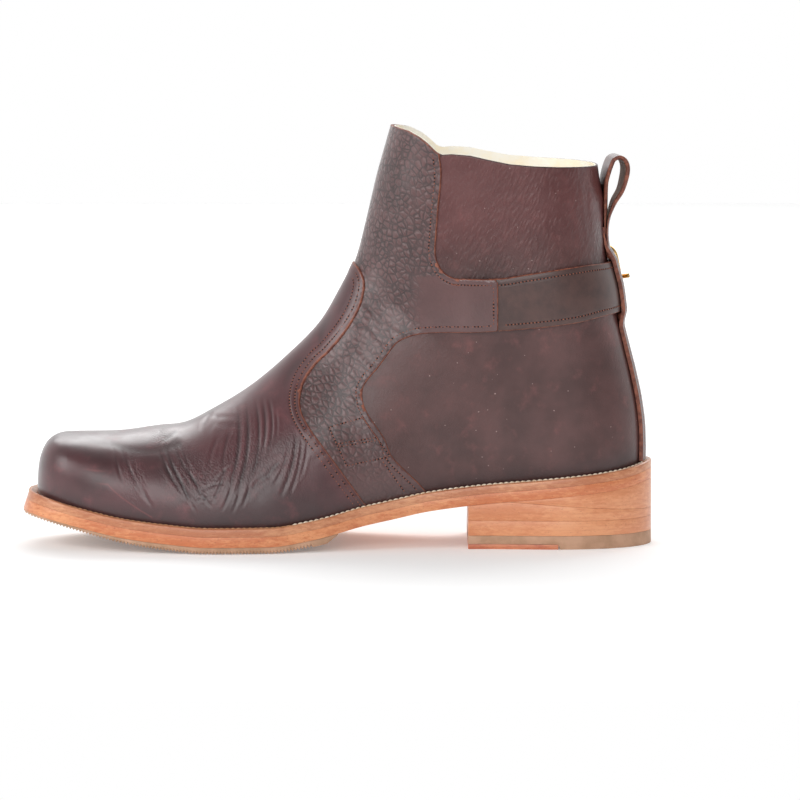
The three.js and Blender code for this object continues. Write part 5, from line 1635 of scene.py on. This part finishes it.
def stitch_frames(points, normals, pitch, shift=0.0):
    """Places, directions and normals at even steps along a row."""
    run = lengths(points)
    at = np.arange(pitch * (0.5 + shift), run[-1], pitch)
    place = np.stack([np.interp(at, run, points[:, k]) for k in range(3)], -1)
    ahead = np.stack([np.interp(at + 0.3, run, points[:, k]) - np.interp(at - 0.3, run, points[:, k])
                      for k in range(3)], -1)
    normal = np.stack([np.interp(at, run, normals[:, k]) for k in range(3)], -1)
    ahead /= np.maximum(np.linalg.norm(ahead, axis=1, keepdims=True), 1e-9)
    normal -= ahead * (ahead * normal).sum(1, keepdims=True)
    normal /= np.linalg.norm(normal, axis=1, keepdims=True)
    return place, ahead, normal


def scatter(frames, template):
    points, faces = template
    all_points, all_faces = [], []
    for place, ahead, normal in frames:
        side = np.cross(normal, ahead)
        for k in range(len(place)):
            base = len(all_points) * len(points)
            all_points.append(place[k] + points[:, :1] * ahead[k] + points[:, 1:2] * side[k]
                              + points[:, 2:] * normal[k])
            all_faces += [[v + base for v in f] for f in faces]
    return np.vstack(all_points), all_faces


def form_row(line, side, height):
    """A stitch row on the form, given in side view."""
    line = resample(line, 0.5)
    sides = np.full(len(line), float(side))
    q, r = param(line[:, 0], line[:, 1], sides)
    normal = form_normal(q, r)
    offset = height(line[:, 0], line[:, 1], sides)
    return form_point(q, r) + normal * offset[:, None], normal


def sew(name, rows, slot="upper_leather"):
    """Rows of threads, with a dark disc of painted shade for the hole between each two."""
    threads = [stitch_frames(p, n, STITCH) for p, n in rows]
    holes = [stitch_frames(p, n, STITCH, 0.5) for p, n in rows]
    points, faces = scatter(threads, thread_template(STITCH * 0.62, THREAD, 0.12))
    dark_points, dark_faces = scatter(holes, hole_template(HOLE_RADIUS))
    base = len(points)
    slots = [0] * len(faces) + [1] * len(dark_faces)
    faces += [[v + base for v in f] for f in dark_faces]
    return add_mesh(name, np.vstack([points, dark_points]), faces,
                    [thread_material, hole_shade_material], slots, None, 50, slot)


sew("vamp_stitches", [form_row(row, side, vamp_outside) for row in vamp_rows for side in (1, -1)])
sew("panel_stitches", [form_row(row, side, panel_outside)
                       for row in [panel_low_row, panel_top_row, tab_low_row, tab_high_row] + box_rows
                       for side in (1, -1)] + [form_row(row, 1, panel_outside) for row in tab_end_rows])


def strap_row(share_of, first, last):
    turn = np.linspace(first, last, 400)
    x = wrap_x(np.full(turn.shape, STRAP_ROW), turn)
    share = share_of(x)
    values = np.column_stack([turn, share])
    return strap_side(strap_height)(values), wrap_normal(mix(strap_low(x), strap_high(x), share), turn)


strap_start = float(turn_at(STRAP_END - 0.6, STRAP_ROW))
strap_stop = -float(turn_at(STRAP_TIP - STRAP_TIP_LENGTH * 0.7, STRAP_ROW))


def row_share(x):
    return STRAP_ROW_INSET / (strap_high(x) - strap_low(x))


sew("strap_stitches", [strap_row(row_share, strap_start, strap_stop),
                       strap_row(lambda x: 1 - row_share(x), strap_start, strap_stop)], "strap_leather")


def strip_row(y):
    z = np.linspace(STRIP_BOTTOM + 1, 0.7 * BOOT_HEIGHT, 160)
    values = np.column_stack([z, np.full(z.shape, float(y))])
    top, low = strip_side(STRIP_THICKNESS, True)(values), strip_side(0)(values)
    normal = top - low
    return top, normal / np.linalg.norm(normal, axis=1, keepdims=True)


sew("strip_stitches", [strip_row(STRIP_WIDTH / 2 - STRIP_ROW), strip_row(STRIP_ROW - STRIP_WIDTH / 2)],
    "strap_leather")


def welt_row(first, last):
    """Stitches that lie on the welt beside the upper, between two places along the sole."""
    ring, _, count, _ = sole_ring(2.9, 0, SOLE_LENGTH, 0.8)
    ring = np.roll(ring, -count, axis=0)
    ring = ring[(ring[:, 0] >= first) & (ring[:, 0] <= last)]
    points = np.column_stack([ring, welt_top(ring[:, 0]) + 0.05])
    return points, np.tile([0, 0, 1.0], (len(points), 1))


SEAM_START = 174.0
WELT_STITCH = 2.7
rear_points, rear_faces = scatter([stitch_frames(*welt_row(0, SEAM_START), WELT_STITCH)],
                                  thread_template(2.5, 0.5, 0.25, 6, 7))
add_mesh("welt_stitches", rear_points, rear_faces, [welt_thread_material], None, None, 60,
         "welt_leather")
front_ring = sole_ring(3.2, 0, SOLE_LENGTH, 0.8)[0]
front_ring = front_ring[front_ring[:, 0] > SEAM_START]
front_row = np.column_stack([front_ring, welt_top(front_ring[:, 0])])
upright = np.tile([0, 0, 1.0], (len(front_row), 1))
front_points, front_faces = scatter([stitch_frames(front_row, upright, WELT_STITCH)],
                                    thread_template(2.3, 0.36, 0.1))
add_mesh("welt_seam", front_points, front_faces, [welt_seam_material], None, None, 60, "welt_leather")


# Camera, light and floor
CAMERA_ANGLE = 7.4
CAMERA_PLACE = (0.0973, 2.984, 0.388)
CAMERA_AIM = (0.0973, 0, 0.069)


def add_camera():
    data = bpy.data.cameras.new("camera")
    data.sensor_width = 36
    data.lens = 18 / math.tan(math.radians(CAMERA_ANGLE) / 2)
    data.clip_end = 50
    camera = bpy.data.objects.new("camera", data)
    bpy.context.scene.collection.objects.link(camera)
    camera.location = Vector(CAMERA_PLACE)
    aim = Vector(CAMERA_AIM)
    camera.rotation_euler = (aim - camera.location).to_track_quat("-Z", "Y").to_euler()
    bpy.context.scene.camera = camera


def add_area(name, place, aim, size, power):
    data = bpy.data.lights.new(name, "AREA")
    data.shape = "RECTANGLE"
    data.size, data.size_y = size
    data.energy = power
    lamp = bpy.data.objects.new(name, data)
    lamp.location = Vector(place)
    lamp.rotation_euler = (Vector(aim) - lamp.location).to_track_quat("-Z", "Y").to_euler()
    bpy.context.scene.collection.objects.link(lamp)


FLOOR = ((-1.6, -2.2), (1.8, -2.2), (1.8, 0.5), (-1.6, 0.5))
SURROUND = (  # axis, from, to, brightness at each
    (1, -0.5, 0.5, 1.1, 0.42),
    (2, 0.0, 1.0, 1.0, 0.6),
)


def add_stage():
    """White surround: bright above and behind, dimmer on the camera's side, white where it shows."""
    world = bpy.data.worlds.new("studio")
    world.use_nodes = True
    tree = world.node_tree
    tree.nodes.clear()
    new, join = tree.nodes.new, tree.links.new
    out, choice = new("ShaderNodeOutputWorld"), new("ShaderNodeMixShader")
    seen, light = new("ShaderNodeBackground"), new("ShaderNodeBackground")
    path, place = new("ShaderNodeLightPath"), new("ShaderNodeTexCoord")
    split = new("ShaderNodeSeparateXYZ")
    join(place.outputs["Generated"], split.inputs[0])
    levels = []
    for axis, low, high, at_low, at_high in SURROUND:
        node = new("ShaderNodeMapRange")
        node.interpolation_type = "SMOOTHSTEP"
        join(split.outputs[axis], node.inputs["Value"])
        limits = {"From Min": low, "From Max": high, "To Min": at_low, "To Max": at_high}
        for key, value in limits.items():
            node.inputs[key].default_value = value
        levels.append(node.outputs["Result"])
    product = new("ShaderNodeMath")
    product.operation = "MULTIPLY"
    join(levels[0], product.inputs[0])
    join(levels[1], product.inputs[1])
    join(product.outputs[0], light.inputs["Strength"])
    seen.inputs["Strength"].default_value = 1.0
    for shade in (seen, light):
        shade.inputs["Color"].default_value = (1, 1, 1, 1)
    join(path.outputs["Is Camera Ray"], choice.inputs[0])
    join(light.outputs[0], choice.inputs[1])
    join(seen.outputs[0], choice.inputs[2])
    join(choice.outputs[0], out.inputs[0])
    bpy.context.scene.world = world
    mesh = bpy.data.meshes.new("floor")
    mesh.from_pydata([(x, y, 0) for x, y in FLOOR], [], [(0, 1, 2, 3)])
    surface = Surface("floor_white", roughness=0.9, specular=0.1)
    surface.shader.inputs["Base Color"].default_value = (0.9, 0.9, 0.9, 1)
    surface.shader.inputs["Emission Color"].default_value = (1, 1, 1, 1)
    surface.shader.inputs["Emission Strength"].default_value = 0.16
    mesh.materials.append(surface.material)
    floor = bpy.data.objects.new("floor", mesh)
    bpy.context.scene.collection.objects.link(floor)


add_camera()
add_stage()
add_area("key", (0.35, 1.9, 0.78), (0.12, 0, 0.08), (1.6, 0.95), 17)
add_area("side", (1.7, 0.9, 1.0), (0.14, 0, 0.1), (0.9, 1.2), 15)
add_area("back", (-0.1, -1.5, 1.5), (0.12, 0, 0.06), (2.4, 1.2), 32)
bpy.context.scene.view_settings.view_transform = "Standard"
